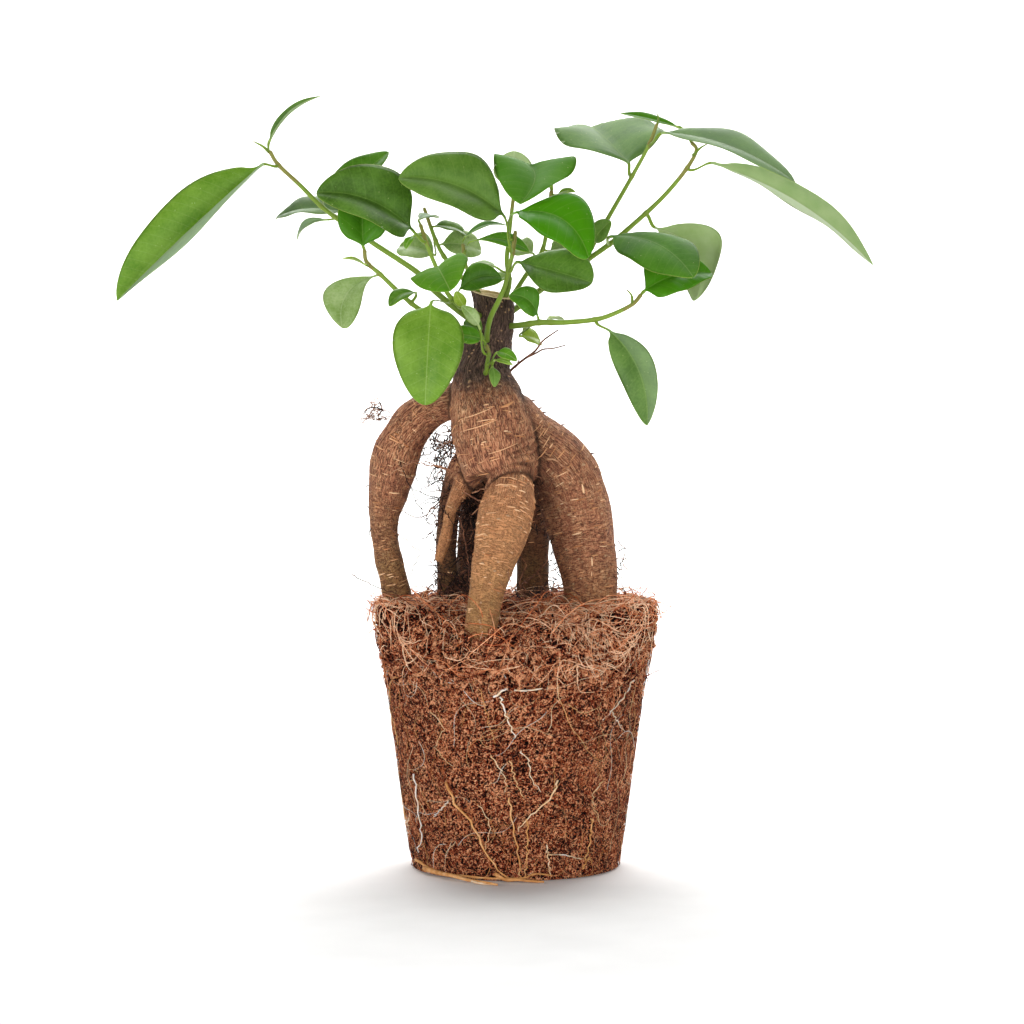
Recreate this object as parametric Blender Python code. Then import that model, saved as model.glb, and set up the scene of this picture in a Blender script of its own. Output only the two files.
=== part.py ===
"""Ginseng ficus bonsai standing on its bare root ball, for Blender 4.5.

Metres, +Z up, origin at the centre of the root ball's flat base. Design points are written in
millimetres and turned into metres where a mesh is made.
"""

import math

import bmesh
import bpy
from mathutils import Matrix, Vector
from mathutils.bvhtree import BVHTree

# ---------------------------------------------------------------------------------------------
# Driving dimensions, in millimetres
# ---------------------------------------------------------------------------------------------

MM = 0.001
GAP = 0.35  # air between two pieces that touch

BALL_BASE_RADIUS = 41.5
BALL_STEP_RADIUS = 52.0
BALL_RIM_RADIUS = 57.0
BALL_STEP_HEIGHT = 77.0
BALL_HEIGHT = 106.5
BALL_SIDES = 48

BARK_VOXEL = 1.7
BARK_KEEP = 0.155  # share of the bark's faces that the Decimate modifier keeps
CUT_HEIGHT = 229.0
CUT_SLOPE = math.radians(11.0)

SHOOT_SIDES = 6
SHOOT_SPACING = 7.0
PETIOLE_RADIUS = 0.65
BLADE_THICKNESS = 0.55
BIG_LEAF = 24.0  # a longer blade gets rounded halves and more stations

# ---------------------------------------------------------------------------------------------
# Trunk and tuberous roots: centre line points and radius (x, y, z, r)
# ---------------------------------------------------------------------------------------------

ROOTS = {
    "core": [
        (-11.0, 0.0, 238.0, 8.2),
        (-9.5, 0.0, 229.0, 8.3),
        (-8.5, -1.0, 218.5, 8.3),
        (-11.0, -2.0, 208.5, 9.2),
        (-13.0, -3.0, 198.0, 11.6),
        (-11.5, -5.0, 187.5, 14.8),
        (-9.0, -9.0, 176.0, 16.7),
        (-7.5, -12.0, 166.5, 16.4),
        (-5.5, -13.5, 158.5, 14.6),
    ],
    "front": [
        (-1.0, -9.0, 160.5, 8.5),
        (-1.5, -16.5, 155.0, 9.2),
        (-2.5, -25.0, 147.5, 10.6),
        (-5.0, -31.0, 136.5, 10.7),
        (-8.5, -35.0, 124.0, 8.8),
        (-11.5, -38.0, 111.5, 7.0),
        (-13.5, -40.0, 97.0, 6.3),
        (-14.0, -40.0, 86.0, 5.0),
    ],
    "right": [
        (-4.0, -5.0, 179.0, 14.0),
        (4.5, -3.0, 171.5, 12.5),
        (14.5, -1.0, 163.5, 13.6),
        (21.0, 1.0, 154.0, 14.3),
        (24.0, 1.0, 144.0, 14.5),
        (27.0, 0.0, 131.0, 12.9),
        (29.3, -2.0, 117.0, 11.5),
        (30.0, -3.0, 105.0, 10.5),
        (30.5, -3.0, 90.0, 8.0),
    ],
    "left": [
        (-18.0, 0.0, 188.0, 8.0),
        (-28.0, 2.0, 185.8, 7.6),
        (-36.5, 4.0, 181.5, 8.3),
        (-44.0, 6.0, 173.0, 9.2),
        (-49.0, 7.0, 161.0, 9.8),
        (-51.7, 8.0, 148.5, 8.2),
        (-53.0, 8.0, 137.5, 6.4),
        (-52.0, 7.0, 126.5, 5.7),
        (-49.5, 6.0, 116.5, 5.8),
        (-47.0, 6.0, 106.5, 6.2),
        (-44.5, 6.0, 92.0, 5.0),
    ],
    "back_left": [
        (-19.0, 8.0, 162.0, 7.0),
        (-25.5, 14.0, 149.5, 5.0),
        (-28.0, 17.0, 130.0, 4.4),
        (-28.0, 17.0, 115.5, 4.2),
        (-28.0, 16.0, 104.5, 4.2),
        (-27.5, 16.0, 90.0, 3.8),
    ],
    "hanging": [
        (-16.5, -6.0, 159.0, 6.0),
        (-21.5, -8.0, 152.0, 4.6),
        (-25.0, -9.0, 145.0, 3.2),
        (-27.0, -9.0, 136.0, 2.9),
        (-29.0, -8.0, 128.0, 2.7),
        (-31.0, -8.0, 122.0, 2.3),
    ],
    "back_right": [
        (-1.5, 8.0, 164.5, 10.0),
        (4.5, 20.0, 146.0, 8.5),
        (7.0, 27.0, 127.5, 7.2),
        (7.0, 29.0, 113.0, 6.8),
        (7.5, 29.0, 102.5, 6.8),
        (7.5, 29.0, 90.0, 5.6),
    ],
    "back": [
        (-12.0, 6.0, 166.5, 9.0),
        (-16.0, 22.0, 146.0, 6.5),
        (-18.5, 31.0, 125.0, 5.8),
        (-19.5, 33.0, 104.5, 5.6),
        (-19.5, 33.0, 90.0, 4.6),
    ],
}

# ---------------------------------------------------------------------------------------------
# Shoots: radius at the foot, radius at the tip, and the points the stem runs through
# ---------------------------------------------------------------------------------------------

SHOOTS = {
    "shoot_left_high": (1.35, 0.8, [
        (-13, -1, 216), (-21, -7, 221), (-32, -8, 230), (-39, -6, 237.5), (-57, -2, 249.5),
        (-75, 0, 262), (-86, 0, 272.5), (-94.5, 0, 280.5), (-98, 0, 286),
    ]),
    "shoot_left_low": (1.2, 0.8, [
        (-12, -3, 212), (-21, -12, 215), (-30, -15, 218.5), (-40.5, -15, 224.5),
        (-53.5, -16, 236.5), (-58.5, -17, 241), (-59.5, -17, 246),
    ]),
    "shoot_left_mid": (1.2, 0.75, [
        (-11, -2, 219), (-19.5, -14, 222.5), (-24.5, -19, 226), (-28, -20, 231),
        (-31, -20, 238.5), (-34.5, -19, 247), (-37.5, -17, 256),
    ]),
    "shoot_back_left": (1.1, 0.75, [
        (-10, 2, 224), (-20, 12, 234.5), (-26.5, 14, 241.5), (-31.5, 15, 249.5), (-37, 16, 264.5),
    ]),
    "shoot_centre_thin": (0.9, 0.65, [
        (-11, 0, 224), (-16, -1, 232), (-19.5, -3, 239.5), (-21, -4, 249),
    ]),
    "shoot_front": (1.2, 0.8, [
        (-11.5, -6, 208), (-11, -17, 214.5), (-9.5, -20, 220), (-6.5, -23, 226), (-4, -25, 232),
        (-2.5, -26, 238.5), (-1.2, -26, 244), (0, -26, 253),
    ]),
    "shoot_centre_back": (1.1, 0.75, [
        (-6, 0, 222), (-2.5, -1, 233), (-3.5, 0, 242), (-3, 1, 248.5), (-2, 3, 258), (-0.5, 4, 270.5),
    ]),
    "shoot_centre_right": (1.1, 0.7, [
        (-5, 3, 222), (1, 8, 232), (6.5, 11, 240.5), (11, 12, 247.5), (13, 10, 258.5), (14.5, 8, 271),
    ]),
    "shoot_right_low": (1.3, 0.8, [
        (-5, -3, 216), (2, -9, 216.5), (9.5, -11, 217.5), (19.5, -13, 217.5), (31, -16, 218.5),
        (38, -18, 220.5), (46, -18, 224.5), (49.5, -18, 228.5),
    ]),
    "shoot_right_main": (1.4, 0.75, [
        (-5, 3, 220), (3.5, 10, 226), (12, 13, 232.5), (24, 14, 240), (38.5, 12, 250),
        (47.5, 10, 257.5), (58.5, 6, 267.5), (67.5, 2, 278), (72, 0, 286), (70, 0, 289.5),
    ]),
    "shoot_right_upper": (1.05, 0.7, [
        (27.5, 13, 242.5), (30.5, 9, 248), (37, 6, 259.5), (46.5, 3, 276), (53, 1, 288),
        (56.5, 1, 297),
    ]),
    "shoot_trunk_front": (1.0, 0.7, [
        (-12.5, -9, 195.5), (-11.5, -18.5, 198.5), (-11, -20, 202), (-10.5, -21, 205.5),
        (-11.5, -21, 208.5),
    ]),
}

TWIG = [(-6, -3, 194), (4, -4, 203.5), (11, -4, 210.5), (17, -5, 214.5)]
TWIG_FORK = [(4, -4, 203.5), (11, -3, 207), (20, -2, 208.7)]
TWIG_RADIUS = (0.9, 0.5)

# ---------------------------------------------------------------------------------------------
# Leaves. Each row: where on its shoot (0 foot, 1 tip), blade base, blade tip, width, the way the
# upper side faces, how far the halves fold up (degrees), how far the middle rises towards the
# upper side, how far it swings to the left of its run, and its colour. The number after the width
# says where along the blade it is widest.
# ---------------------------------------------------------------------------------------------

LEAVES = {
    "shoot_left_high": {
        "leaf_far_left": (0.94, (-101, -4, 280), (-157, -14, 226), 28.5, 0.50, (-3, -8, 5), 38, 4, 2.5, "bright"),
        "leaf_curled_tip": (1.0, (-98, 0, 290), (-77, 2, 308), 5, 0.40, (-5, -6, 6), 45, 3, 1.2, "mid"),
        "leaf_left_back": (0.60, (-69, 9, 262), (-97, 18, 260), 17, 0.45, (0, -5, 8), 15, 3, 0, "mid"),
        "leaf_left_tail": (0.67, (-76, 6, 259), (-88, 12, 251), 6, 0.50, (-6, -5, 6), 20, 3, 0, "mid"),
        "leaf_left_upright": (0.73, (-76, 6, 270), (-51, 12, 286.5), 14, 0.45, (-3, -8, 4), 18, 1.5, -2.5, "dark"),
    },
    "shoot_left_low": {
        "leaf_left_dark": (1.0, (-60, -17, 247.5), (-61.5, -6, 271), 22, 0.36, (1, -9, 3), 24, 2, 0, "dark"),
        "leaf_left_sliver": (0.90, (-59, -21, 240), (-68, -24, 242), 3, 0.50, (0, -5, 8), 20, 1, 0, "young"),
        "leaf_left_drooping": (0.81, (-55, -12, 236), (-68, -20, 215), 18, 0.63, (-3, -9, 3), 14, 2, -5.5, "pale"),
        "leaf_left_small": (0.56, (-39.5, -19.5, 229), (-49.5, -24, 223.5), 7.5, 0.50, (-2, -7, 6), 12, 1.5, -1, "mid"),
    },
    "shoot_left_mid": {
        "leaf_big_left": (0.86, (-41, -24, 254), (-77, -36, 267), 31, 0.38, (-1, -8, 5), 22, 3, -3.5, "dark"),
        "leaf_left_bud": (0.92, (-40, -20, 251), (-43, -22, 246), 4, 0.50, (-4, -8, 3), 15, 1, 0, "bright"),
        "leaf_left_edge_on": (1.0, (-38, -14, 258), (-31, -4, 259), 8, 0.50, (0, -3, 9), 10, 1, 0, "mid"),
        "leaf_front_low": (0.63, (-30.5, -25, 238.5), (-25, -48, 228.7), 24, 0.50, (-3.4, -4.6, 7.9), 10, 3, 0, "bright"),
        "leaf_front_round": (0.42, (-33, -32, 224), (-35, -40, 185), 28, 0.40, (0, -10, 1), 8, 3, 0, "bright"),
        "leaf_behind_cut": (0.33, (-22, -14, 230.5), (-5.5, -13, 235), 12.5, 0.50, (-1, -9, 4), 12, 1, 2.5, "dark"),
    },
    "shoot_back_left": {
        "leaf_back_left": (0.74, (-33, 19, 245.5), (-47.5, 27, 249), 15, 0.50, (-1, -7, 6), 12, 2, 0, "pale"),
        "leaf_back_middle": (0.60, (-30, 21, 250), (-14, 26, 247.5), 14, 0.50, (0, -8, 5), 12, 2, 0, "pale"),
    },
    "shoot_centre_thin": {
        "leaf_strap_upper": (1.0, (-20, -3, 251.5), (-3, 5, 256.5), 4.5, 0.50, (-2, -6, 7), 20, 2, 1.5, "dark"),
        "leaf_strap_lower": (0.88, (-18, -7, 249.5), (5.5, -7, 245.5), 7.5, 0.66, (0, -8, 5), 15, 1, 3, "dark"),
    },
    "shoot_front": {
        "leaf_big_centre": (0.93, (-5, -30, 259), (-45, -40, 272.5), 29, 0.43, (0, -8, 5), 16, 3, -3.5, "mid"),
        "leaf_bright": (0.84, (0, -34, 259.5), (28, -46, 241.5), 25, 0.50, (1, -8, 6), 8, 4, 6, "mid"),
        "leaf_right_of_centre": (0.70, (1, -31, 240.5), (29.5, -42, 232), 23, 0.60, (1, -8, 5), 10, 2, -1, "dark"),
    },
    "shoot_centre_back": {
        "leaf_top_back": (1.0, (-1, 6, 273), (-0.5, 13, 287), 17, 0.55, (0, 9, -4), 14, 2, 0, "pale"),
        "leaf_pale_stub": (0.33, (-8, 3, 240), (-18, 8, 241), 7, 0.50, (0, -2, 9), 12, 1, 0, "pale"),
    },
    "shoot_centre_right": {
        "leaf_top_folded": (1.0, (5.1, -6, 279.9), (1.9, -34, 262.7), 36, 0.45, (0, -5, 8.5), 25, 2, 4, "mid"),
        "leaf_sprout_right": (0.97, (17, 6, 269), (24, 4, 270), 4, 0.45, (0, -7, 7), 15, 1, 0, "bright"),
        "leaf_pale_left": (0.49, (7, 16, 246), (-1, 24, 249), 11, 0.50, (0, -8, 5), 12, 1, 0, "pale"),
        "leaf_pale_right": (0.57, (14, 16, 247), (28, 26, 249), 13, 0.50, (0, -8, 5), 12, 1, 0, "pale"),
    },
    "shoot_right_low": {
        "leaf_right_boat": (1.0, (51, -19, 230), (77.4, -12, 236.8), 23, 0.34, (-1, -7, 5), 16, 2, 2, "dark"),
        "leaf_right_hanging": (0.65, (37, -20, 214), (51.5, -27, 177), 16.5, 0.46, (-4, -9, 2), 18, 2, 5.5, "mid"),
        "leaf_under_cut": (0.28, (8.5, -15, 220.5), (-2.5, -20, 228), 12, 0.42, (2, -9, 4), 10, 1, -2.5, "dark"),
        "leaf_right_young": (0.36, (13, -6, 219), (19, 4, 218), 5, 0.50, (0, -2, 9), 20, 1, 0, "young"),
        "leaf_pale_low": (0.22, (2.5, 2.5, 212.3), (10, 9, 210), 11, 0.40, (0, -7, 6), 12, 1, 0, "young"),
    },
    "shoot_right_main": {
        "leaf_far_right": (0.89, (79, -2, 281), (141, -14, 240), 20, 0.50, (3, 4, 8.8), 12, 6, 0, "mid"),
        "leaf_right_convex": (0.49, (38.5, 0, 252), (68.5, -40, 234.2), 27, 0.50, (1, -7, 6), -10, 4, 3.5, "dark"),
        "leaf_right_under": (0.67, (57, 14, 256), (72.8, 5, 227.2), 25, 0.48, (3, 8, 4), 10, 3, -8, "pale"),
        "leaf_top_narrow": (1.0, (65, 5, 296), (42, 12, 302), 6, 0.50, (1, -6, 8), 20, 0.5, 0, "dark"),
    },
    "shoot_right_upper": {
        "leaf_right_top_left": (0.63, (45.2, 4, 281.5), (31.5, 47, 299.5), 46, 0.46, (0, -4, 9), 12, 2, 1, "mid"),
        "leaf_right_top": (0.86, (59, -8, 292.5), (109.5, -20, 272), 19, 0.45, (2, -5, 7.5), 12, 4, 1.5, "mid"),
        "leaf_right_oval": (0.12, (31, 4, 250), (38, -2, 258), 9, 0.50, (-0.3, -8, 4), 12, 1, 0, "mid"),
    },
    "shoot_trunk_front": {
        "leaf_trunk_left": (1.0, (-13.5, -22.5, 210.8), (-26, -24, 212.5), 9, 0.42, (0, -8, 5), 14, 1, 0, "bright"),
        "leaf_trunk_top": (0.80, (-14.5, -27.5, 216), (-21, -29, 223.5), 6, 0.45, (0, -8, 5), 14, 1, 0, "pale"),
        "leaf_trunk_right": (0.60, (-7, -24.5, 205.5), (0.5, -28.5, 202), 5.5, 0.45, (0, -8, 5), 14, 1.5, 0, "bright"),
        "leaf_trunk_low": (0.36, (-9, -23.5, 199.5), (-8.3, -26.5, 192), 5, 0.45, (3, -9, 1), 14, 1, 0, "mid"),
    },
}

# ---------------------------------------------------------------------------------------------
# Materials
# ---------------------------------------------------------------------------------------------

COLOURS = {
    "coir_root_ball": ("#76452f", 0.95),
    "root_bark": ("#845a41", 0.62),
    "green_stem": ("#7f8f42", 0.5),
    "dry_twig": ("#7a6552", 0.85),
    "leaf_dark": ("#456b1f", 0.3),
    "leaf_mid": ("#5d8436", 0.32),
    "leaf_bright": ("#74983a", 0.34),
    "leaf_young": ("#8f9a45", 0.4),
    "leaf_pale": ("#9bb078", 0.45),
}


def linear(channel):
    """One sRGB channel, 0 to 1, as scene linear."""
    if channel <= 0.04045:
        return channel / 12.92
    return ((channel + 0.055) / 1.055) ** 2.4


def material(slot):
    """The Principled material of one slot, made on first use."""
    made = bpy.data.materials.get(slot)
    if made:
        return made
    code, roughness = COLOURS[slot]
    made = bpy.data.materials.new(slot)
    made.use_nodes = True
    shader = made.node_tree.nodes["Principled BSDF"]
    rgb = [linear(int(code[i:i + 2], 16) / 255) for i in (1, 3, 5)]
    shader.inputs["Base Color"].default_value = (*rgb, 1.0)
    shader.inputs["Roughness"].default_value = roughness
    shader.inputs["Metallic"].default_value = 0.0
    made.diffuse_color = (*rgb, 1.0)
    return made


# ---------------------------------------------------------------------------------------------
# Curves and lofts
# ---------------------------------------------------------------------------------------------


def spline(points, spacing):
    """Catmull-Rom points about one spacing apart through tuples of any width."""
    rows = [Vector(p) for p in points]
    rows = [rows[0] * 2 - rows[1], *rows, rows[-1] * 2 - rows[-2]]
    out = []
    for a, b, c, d in zip(rows, rows[1:], rows[2:], rows[3:]):
        steps = max(1, round((c - b).length / spacing))
        for i in range(steps):
            t = i / steps
            out.append(0.5 * (2 * b + (c - a) * t + (2 * a - 5 * b + 4 * c - d) * t**2
                              + (3 * b - a - 3 * c + d) * t**3))
    out.append(rows[-2])
    return out


def tangents(points):
    """Unit direction of a line of points at each of them."""
    last = len(points) - 1
    return [(points[min(i + 1, last)] - points[max(i - 1, 0)]).normalized() for i in range(last + 1)]


def frames(points, side):
    """Side and normal vectors carried along the line without twist, from a first side vector."""
    runs = tangents(points)
    side = (side - runs[0] * side.dot(runs[0])).normalized()
    out = [(side, runs[0].cross(side))]
    for before, after in zip(runs, runs[1:]):
        side = before.rotation_difference(after) @ side
        side = (side - after * side.dot(after)).normalized()
        out.append((side, after.cross(side)))
    return out


def round_rings(points, radii, sides):
    """Rings of points round a line, one for each of its points."""
    start = Vector((0, -1, 0.2)) if abs(tangents(points)[0].y) < 0.9 else Vector((1, 0, 0))
    rings = []
    for point, radius, (u, v) in zip(points, radii, frames(points, start)):
        angles = [math.tau * i / sides for i in range(sides)]
        rings.append([point + (u * math.cos(a) + v * math.sin(a)) * radius for a in angles])
    return rings


def loft(name, rings, slot):
    """A closed solid through rings of the same number of points, capped at both ends."""
    mesh = bpy.data.meshes.new(name)
    bm = bmesh.new()
    rows = [[bm.verts.new(p * MM) for p in ring] for ring in rings]
    count = len(rows[0])
    for low, high in zip(rows, rows[1:]):
        for i in range(count):
            j = (i + 1) % count
            bm.faces.new((low[i], low[j], high[j], high[i]))
    bm.faces.new(reversed(rows[0]))
    bm.faces.new(rows[-1])
    bmesh.ops.recalc_face_normals(bm, faces=bm.faces)
    bm.to_mesh(mesh)
    bm.free()
    mesh.shade_smooth()
    mesh.set_sharp_from_angle(angle=math.radians(50))
    thing = bpy.data.objects.new(name, mesh)
    bpy.context.collection.objects.link(thing)
    mesh.materials.append(material(slot))
    return thing


def guide(thing):
    """Marks an object that only shapes another one."""
    thing.hide_render = True
    thing.display_type = "WIRE"
    return thing


def boolean(thing, other, operation):
    cut = thing.modifiers.new(operation.lower(), "BOOLEAN")
    cut.operation = operation
    cut.solver = "EXACT"
    cut.object = other


def solid_tree(thing):
    """A search tree of an object's finished surface, in metres."""
    bpy.context.view_layer.update()
    return BVHTree.FromObject(thing, bpy.context.evaluated_depsgraph_get())


def is_inside(point, tree):
    """True where a ray from the point leaves the solid an odd number of times."""
    ray = Vector((0.3, 0.2, 1)).normalized()
    crossings = 0
    hit = tree.ray_cast(point, ray)[0]
    while hit is not None:
        crossings += 1
        hit = tree.ray_cast(hit + ray * 1e-6, ray)[0]
    return crossings % 2 == 1


def is_clear(ring, tree):
    """True where every point of the ring lies outside the solid by at least the gap."""
    for point in ring:
        if tree.find_nearest(point * MM)[3] < GAP * MM or is_inside(point * MM, tree):
            return False
    return True


# ---------------------------------------------------------------------------------------------
# Trunk and roots
# ---------------------------------------------------------------------------------------------


def root_tube(name, points):
    rows = spline(points, 4.0)
    line = [Vector(row[:3]) for row in rows]
    return loft(name, round_rings(line, [row[3] for row in rows], 14), "root_bark")


def build_trunk():
    """All the roots run together into one skin, smoothed like grown wood, with the top sawn off."""
    tubes = [root_tube("trunk" if i == 0 else f"guide_{key}", ROOTS[key]) for i, key in enumerate(ROOTS)]
    trunk = tubes[0]
    bm = bmesh.new()
    for tube in tubes:
        bm.from_mesh(tube.data)
    bm.to_mesh(trunk.data)
    bm.free()
    for tube in tubes[1:]:
        bpy.data.objects.remove(tube)
    skin = trunk.modifiers.new("skin", "REMESH")
    skin.mode = "VOXEL"
    skin.voxel_size = BARK_VOXEL * MM
    skin.use_smooth_shade = True
    smooth = trunk.modifiers.new("grown", "SMOOTH")
    smooth.factor = 0.5
    smooth.iterations = 9
    fewer = trunk.modifiers.new("fewer", "DECIMATE")
    fewer.ratio = BARK_KEEP
    boolean(trunk, saw_block(), "DIFFERENCE")
    return trunk


def saw_block():
    """The slanted block above the saw cut."""
    mesh = bpy.data.meshes.new("guide_saw")
    bm = bmesh.new()
    bmesh.ops.create_cube(bm, size=60 * MM)
    bmesh.ops.translate(bm, verts=bm.verts, vec=(0, 0, 30 * MM))
    bm.to_mesh(mesh)
    bm.free()
    block = bpy.data.objects.new("guide_saw", mesh)
    bpy.context.collection.objects.link(block)
    block.location = (-9.5 * MM, 0, CUT_HEIGHT * MM)
    block.rotation_euler = (math.radians(-3), CUT_SLOPE, 0)
    return guide(block)


def socket_cutter(trunk):
    """The buried root ends, grown by the gap, as one cutter for the root ball."""
    bpy.context.view_layer.update()
    mesh = bpy.data.meshes.new_from_object(trunk.evaluated_get(bpy.context.evaluated_depsgraph_get()))
    bm = bmesh.new()
    bm.from_mesh(mesh)
    bm.normal_update()
    moves = [(v, v.normal.copy()) for v in bm.verts]
    for vert, normal in moves:
        vert.co += normal * GAP * 1.25 * MM
    geometry = [*bm.verts, *bm.edges, *bm.faces]
    cut = bmesh.ops.bisect_plane(bm, geom=geometry, plane_co=(0, 0, (BALL_HEIGHT + 6) * MM),
                                 plane_no=(0, 0, 1), clear_outer=True)
    edges = [e for e in cut["geom_cut"] if isinstance(e, bmesh.types.BMEdge)]
    bmesh.ops.holes_fill(bm, edges=edges, sides=0)
    bmesh.ops.triangulate(bm, faces=[f for f in bm.faces if len(f.verts) > 4])
    bmesh.ops.recalc_face_normals(bm, faces=bm.faces)
    bm.to_mesh(mesh)
    bm.free()
    cutter = bpy.data.objects.new("guide_sockets", mesh)
    bpy.context.collection.objects.link(cutter)
    return guide(cutter)


def ball_profile(front):
    """Radius and height up the root ball's side and in over its top. In front the rim has crumbled to a slope."""
    base, step, rim = BALL_BASE_RADIUS, BALL_STEP_RADIUS, BALL_RIM_RADIUS
    low, top = BALL_STEP_HEIGHT, BALL_HEIGHT
    side = [(base + (step - base) * t, low * t) for t in (0.2, 0.42, 0.64, 0.84, 1.0)]
    whole = [
        (rim - 2.8, low + 2), (rim - 1, low + 8), (rim, low + 16), (rim + 0.3, low + 22), (rim - 0.4, top - 3.5),
        (rim - 2.2, top - 0.6), (rim - 7, top), (rim - 13, top - 2.2), (rim - 25, top - 1.6), (rim - 41, top - 1.2),
    ]
    crumbled = [
        (rim - 2.8, low + 1), (rim - 1.2, low + 3), (rim - 2, low + 7), (rim - 4.5, low + 12), (rim - 8, low + 16.5),
        (rim - 11, low + 19.5), (rim - 15, low + 22), (rim - 20, low + 24), (rim - 29, low + 26), (rim - 41, low + 27.5),
    ]
    upper = [
        (a + (c - a) * front, b + (d - b) * front) for (a, b), (c, d) in zip(whole, crumbled)
    ]
    return [(base - 2.2, 0), (base, 2.4), *side, *upper]


def build_ball(trunk):
    spokes = []
    for i in range(BALL_SIDES):
        a = math.tau * i / BALL_SIDES
        front = min(1, max(0, (-math.sin(a) - 0.35) / 0.5))
        spoke = []
        for radius, height in ball_profile(front * front * (3 - 2 * front)):
            lump = 0.5 * math.sin(3 * a + height / 17) + 0.4 * math.sin(7 * a - height / 9)
            wide = radius + (lump if height > 0 else 0)
            rise = 0.5 * math.sin(5 * a + radius / 6) if radius < BALL_RIM_RADIUS - 5 and height > 50 else 0
            spoke.append(Vector((wide * math.cos(a), wide * math.sin(a), height + rise)))
        spokes.append(spoke)
    rings = [list(ring) for ring in zip(*spokes)]
    ball = loft("root_ball", rings, "coir_root_ball")
    boolean(ball, socket_cutter(trunk), "DIFFERENCE")
    return ball


# ---------------------------------------------------------------------------------------------
# Shoots and leaves
# ---------------------------------------------------------------------------------------------


def clear_run(line, radii, trees):
    """The far end of a stem's line, back to where it would meet what it grows from."""
    rings = round_rings(line, radii, SHOOT_SIDES)
    first = len(line) - 1
    while first > 0 and all(is_clear(rings[first - 1], tree) for tree in trees):
        first -= 1
    return first


def build_shoot(name, foot, tip, points, trees):
    fine = spline(points, 0.25)
    radii = [foot + (tip - foot) * i / (len(fine) - 1) for i in range(len(fine))]
    first = clear_run(fine, radii, trees)
    count = max(3, round((len(fine) - first) * 0.25 / SHOOT_SPACING))
    picks = [first + round((len(fine) - 1 - first) * i / count) for i in range(count + 1)]
    rings = round_rings([fine[i] for i in picks], [radii[i] for i in picks], SHOOT_SIDES)
    loft(name, rings, "green_stem")
    return fine, radii


def petiole_line(fine, radii, at, base, run):
    """The leaf stalk's line, from the skin of its shoot to the foot of the blade."""
    index = min(len(fine) - 1, round(at * (len(fine) - 1)))
    point, along = fine[index], tangents(fine)[index]
    if at >= 1.0:
        out = along
        start = point + out * (GAP + 0.3)
    else:
        out = base - point
        out = (out - along * out.dot(along)).normalized()
        start = point + out * (radii[index] + GAP)
    reach = (base - start).length
    a, b = start + out * max(0.8, reach / 3), base - run * reach / 3
    line = []
    for t in (0, 0.25, 0.6):
        u = 1 - t
        line.append(start * u**3 + a * 3 * u**2 * t + b * 3 * u * t**2 + base * t**3)
    return line


def blade_width(t, belly, slender):
    """Share of the full width at a share of the length. It is widest at the belly, and rounder leaves are fuller."""
    if not 0 < t < 1:
        return 0.06
    oval = math.sin(math.pi * t ** (math.log(0.5) / math.log(belly)))
    return max(oval ** (0.85 - 0.45 * slender * t), 0.06)


def blade_section(centre, side, up, half, fold, arc, thickness):
    """Points round the blade: left rim, over the top, right rim, back underneath."""
    across, lift = math.cos(fold), math.sin(fold)
    shares = [-1 + i / arc for i in range(2 * arc + 1)]
    top, under = [], []
    for share in shares:
        high = abs(share) * half * lift + (0.1 * half if 0 < abs(share) < 1 else 0)
        point = centre + side * share * half * across + up * high
        thick = thickness * (1 - abs(share) ** 3) / 2
        top.append(point + up * thick)
        under.append(point - up * thick)
    return top + under[-2:0:-1]


def build_leaf(name, shoot, row):
    at, base, tip, width, belly, face, fold, bow, sweep, shade = row
    base, tip, face = Vector(base), Vector(tip), Vector(face)
    length = (tip - base).length
    run = (tip - base).normalized()
    up = (face - run * face.dot(run)).normalized()
    side = up.cross(run)
    big = length > BIG_LEAF
    stations = (0.05, 0.16, 0.32, 0.5, 0.68, 0.84, 0.94, 1.0) if big else (0.08, 0.32, 0.6, 0.86, 1.0)
    curve = [base + run * length * t + (up * bow + side * sweep) * 4 * t * (1 - t) for t in (0, *stations)]
    first_run = (curve[1] - curve[0]).normalized()
    line = petiole_line(*shoot, at, base, first_run) + curve
    arc = 2 if big else 1
    stalk = len(line) - len(stations)
    runs = tangents(line)
    carried = frames(list(reversed(line[:stalk + 1])), side)
    rings = []
    for i, centre in enumerate(line):
        if i < stalk:
            across, normal = carried[stalk - i]
            normal = -normal
            thin = PETIOLE_RADIUS if big else 0.75 * PETIOLE_RADIUS
            rings.append(blade_section(centre, across, normal, thin, 0, arc, 2 * thin))
        else:
            t = stations[i - stalk]
            normal = (up - runs[i] * up.dot(runs[i])).normalized()
            half = width / 2 * blade_width(t, belly, min(0.75, width / length))
            thick = BLADE_THICKNESS if t < 0.9 else BLADE_THICKNESS * 0.7
            rings.append(blade_section(centre, side, normal, half, math.radians(fold), arc, thick))
    return loft(name, rings, "leaf_" + shade)


def build_twig(tree):
    """The dry forked twig on the neck."""
    parts = []
    for name, points in (("dry_twig", TWIG), ("guide_twig_fork", TWIG_FORK)):
        fine = spline(points, 0.25)
        foot, tip = TWIG_RADIUS
        radii = [foot + (tip - foot) * i / (len(fine) - 1) for i in range(len(fine))]
        first = clear_run(fine, radii, [tree])
        picks = [first + round((len(fine) - 1 - first) * i / 5) for i in range(6)]
        rings = round_rings([fine[i] for i in picks], [radii[i] for i in picks], SHOOT_SIDES)
        parts.append(loft(name, rings, "dry_twig"))
    boolean(parts[0], guide(parts[1]), "UNION")


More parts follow.
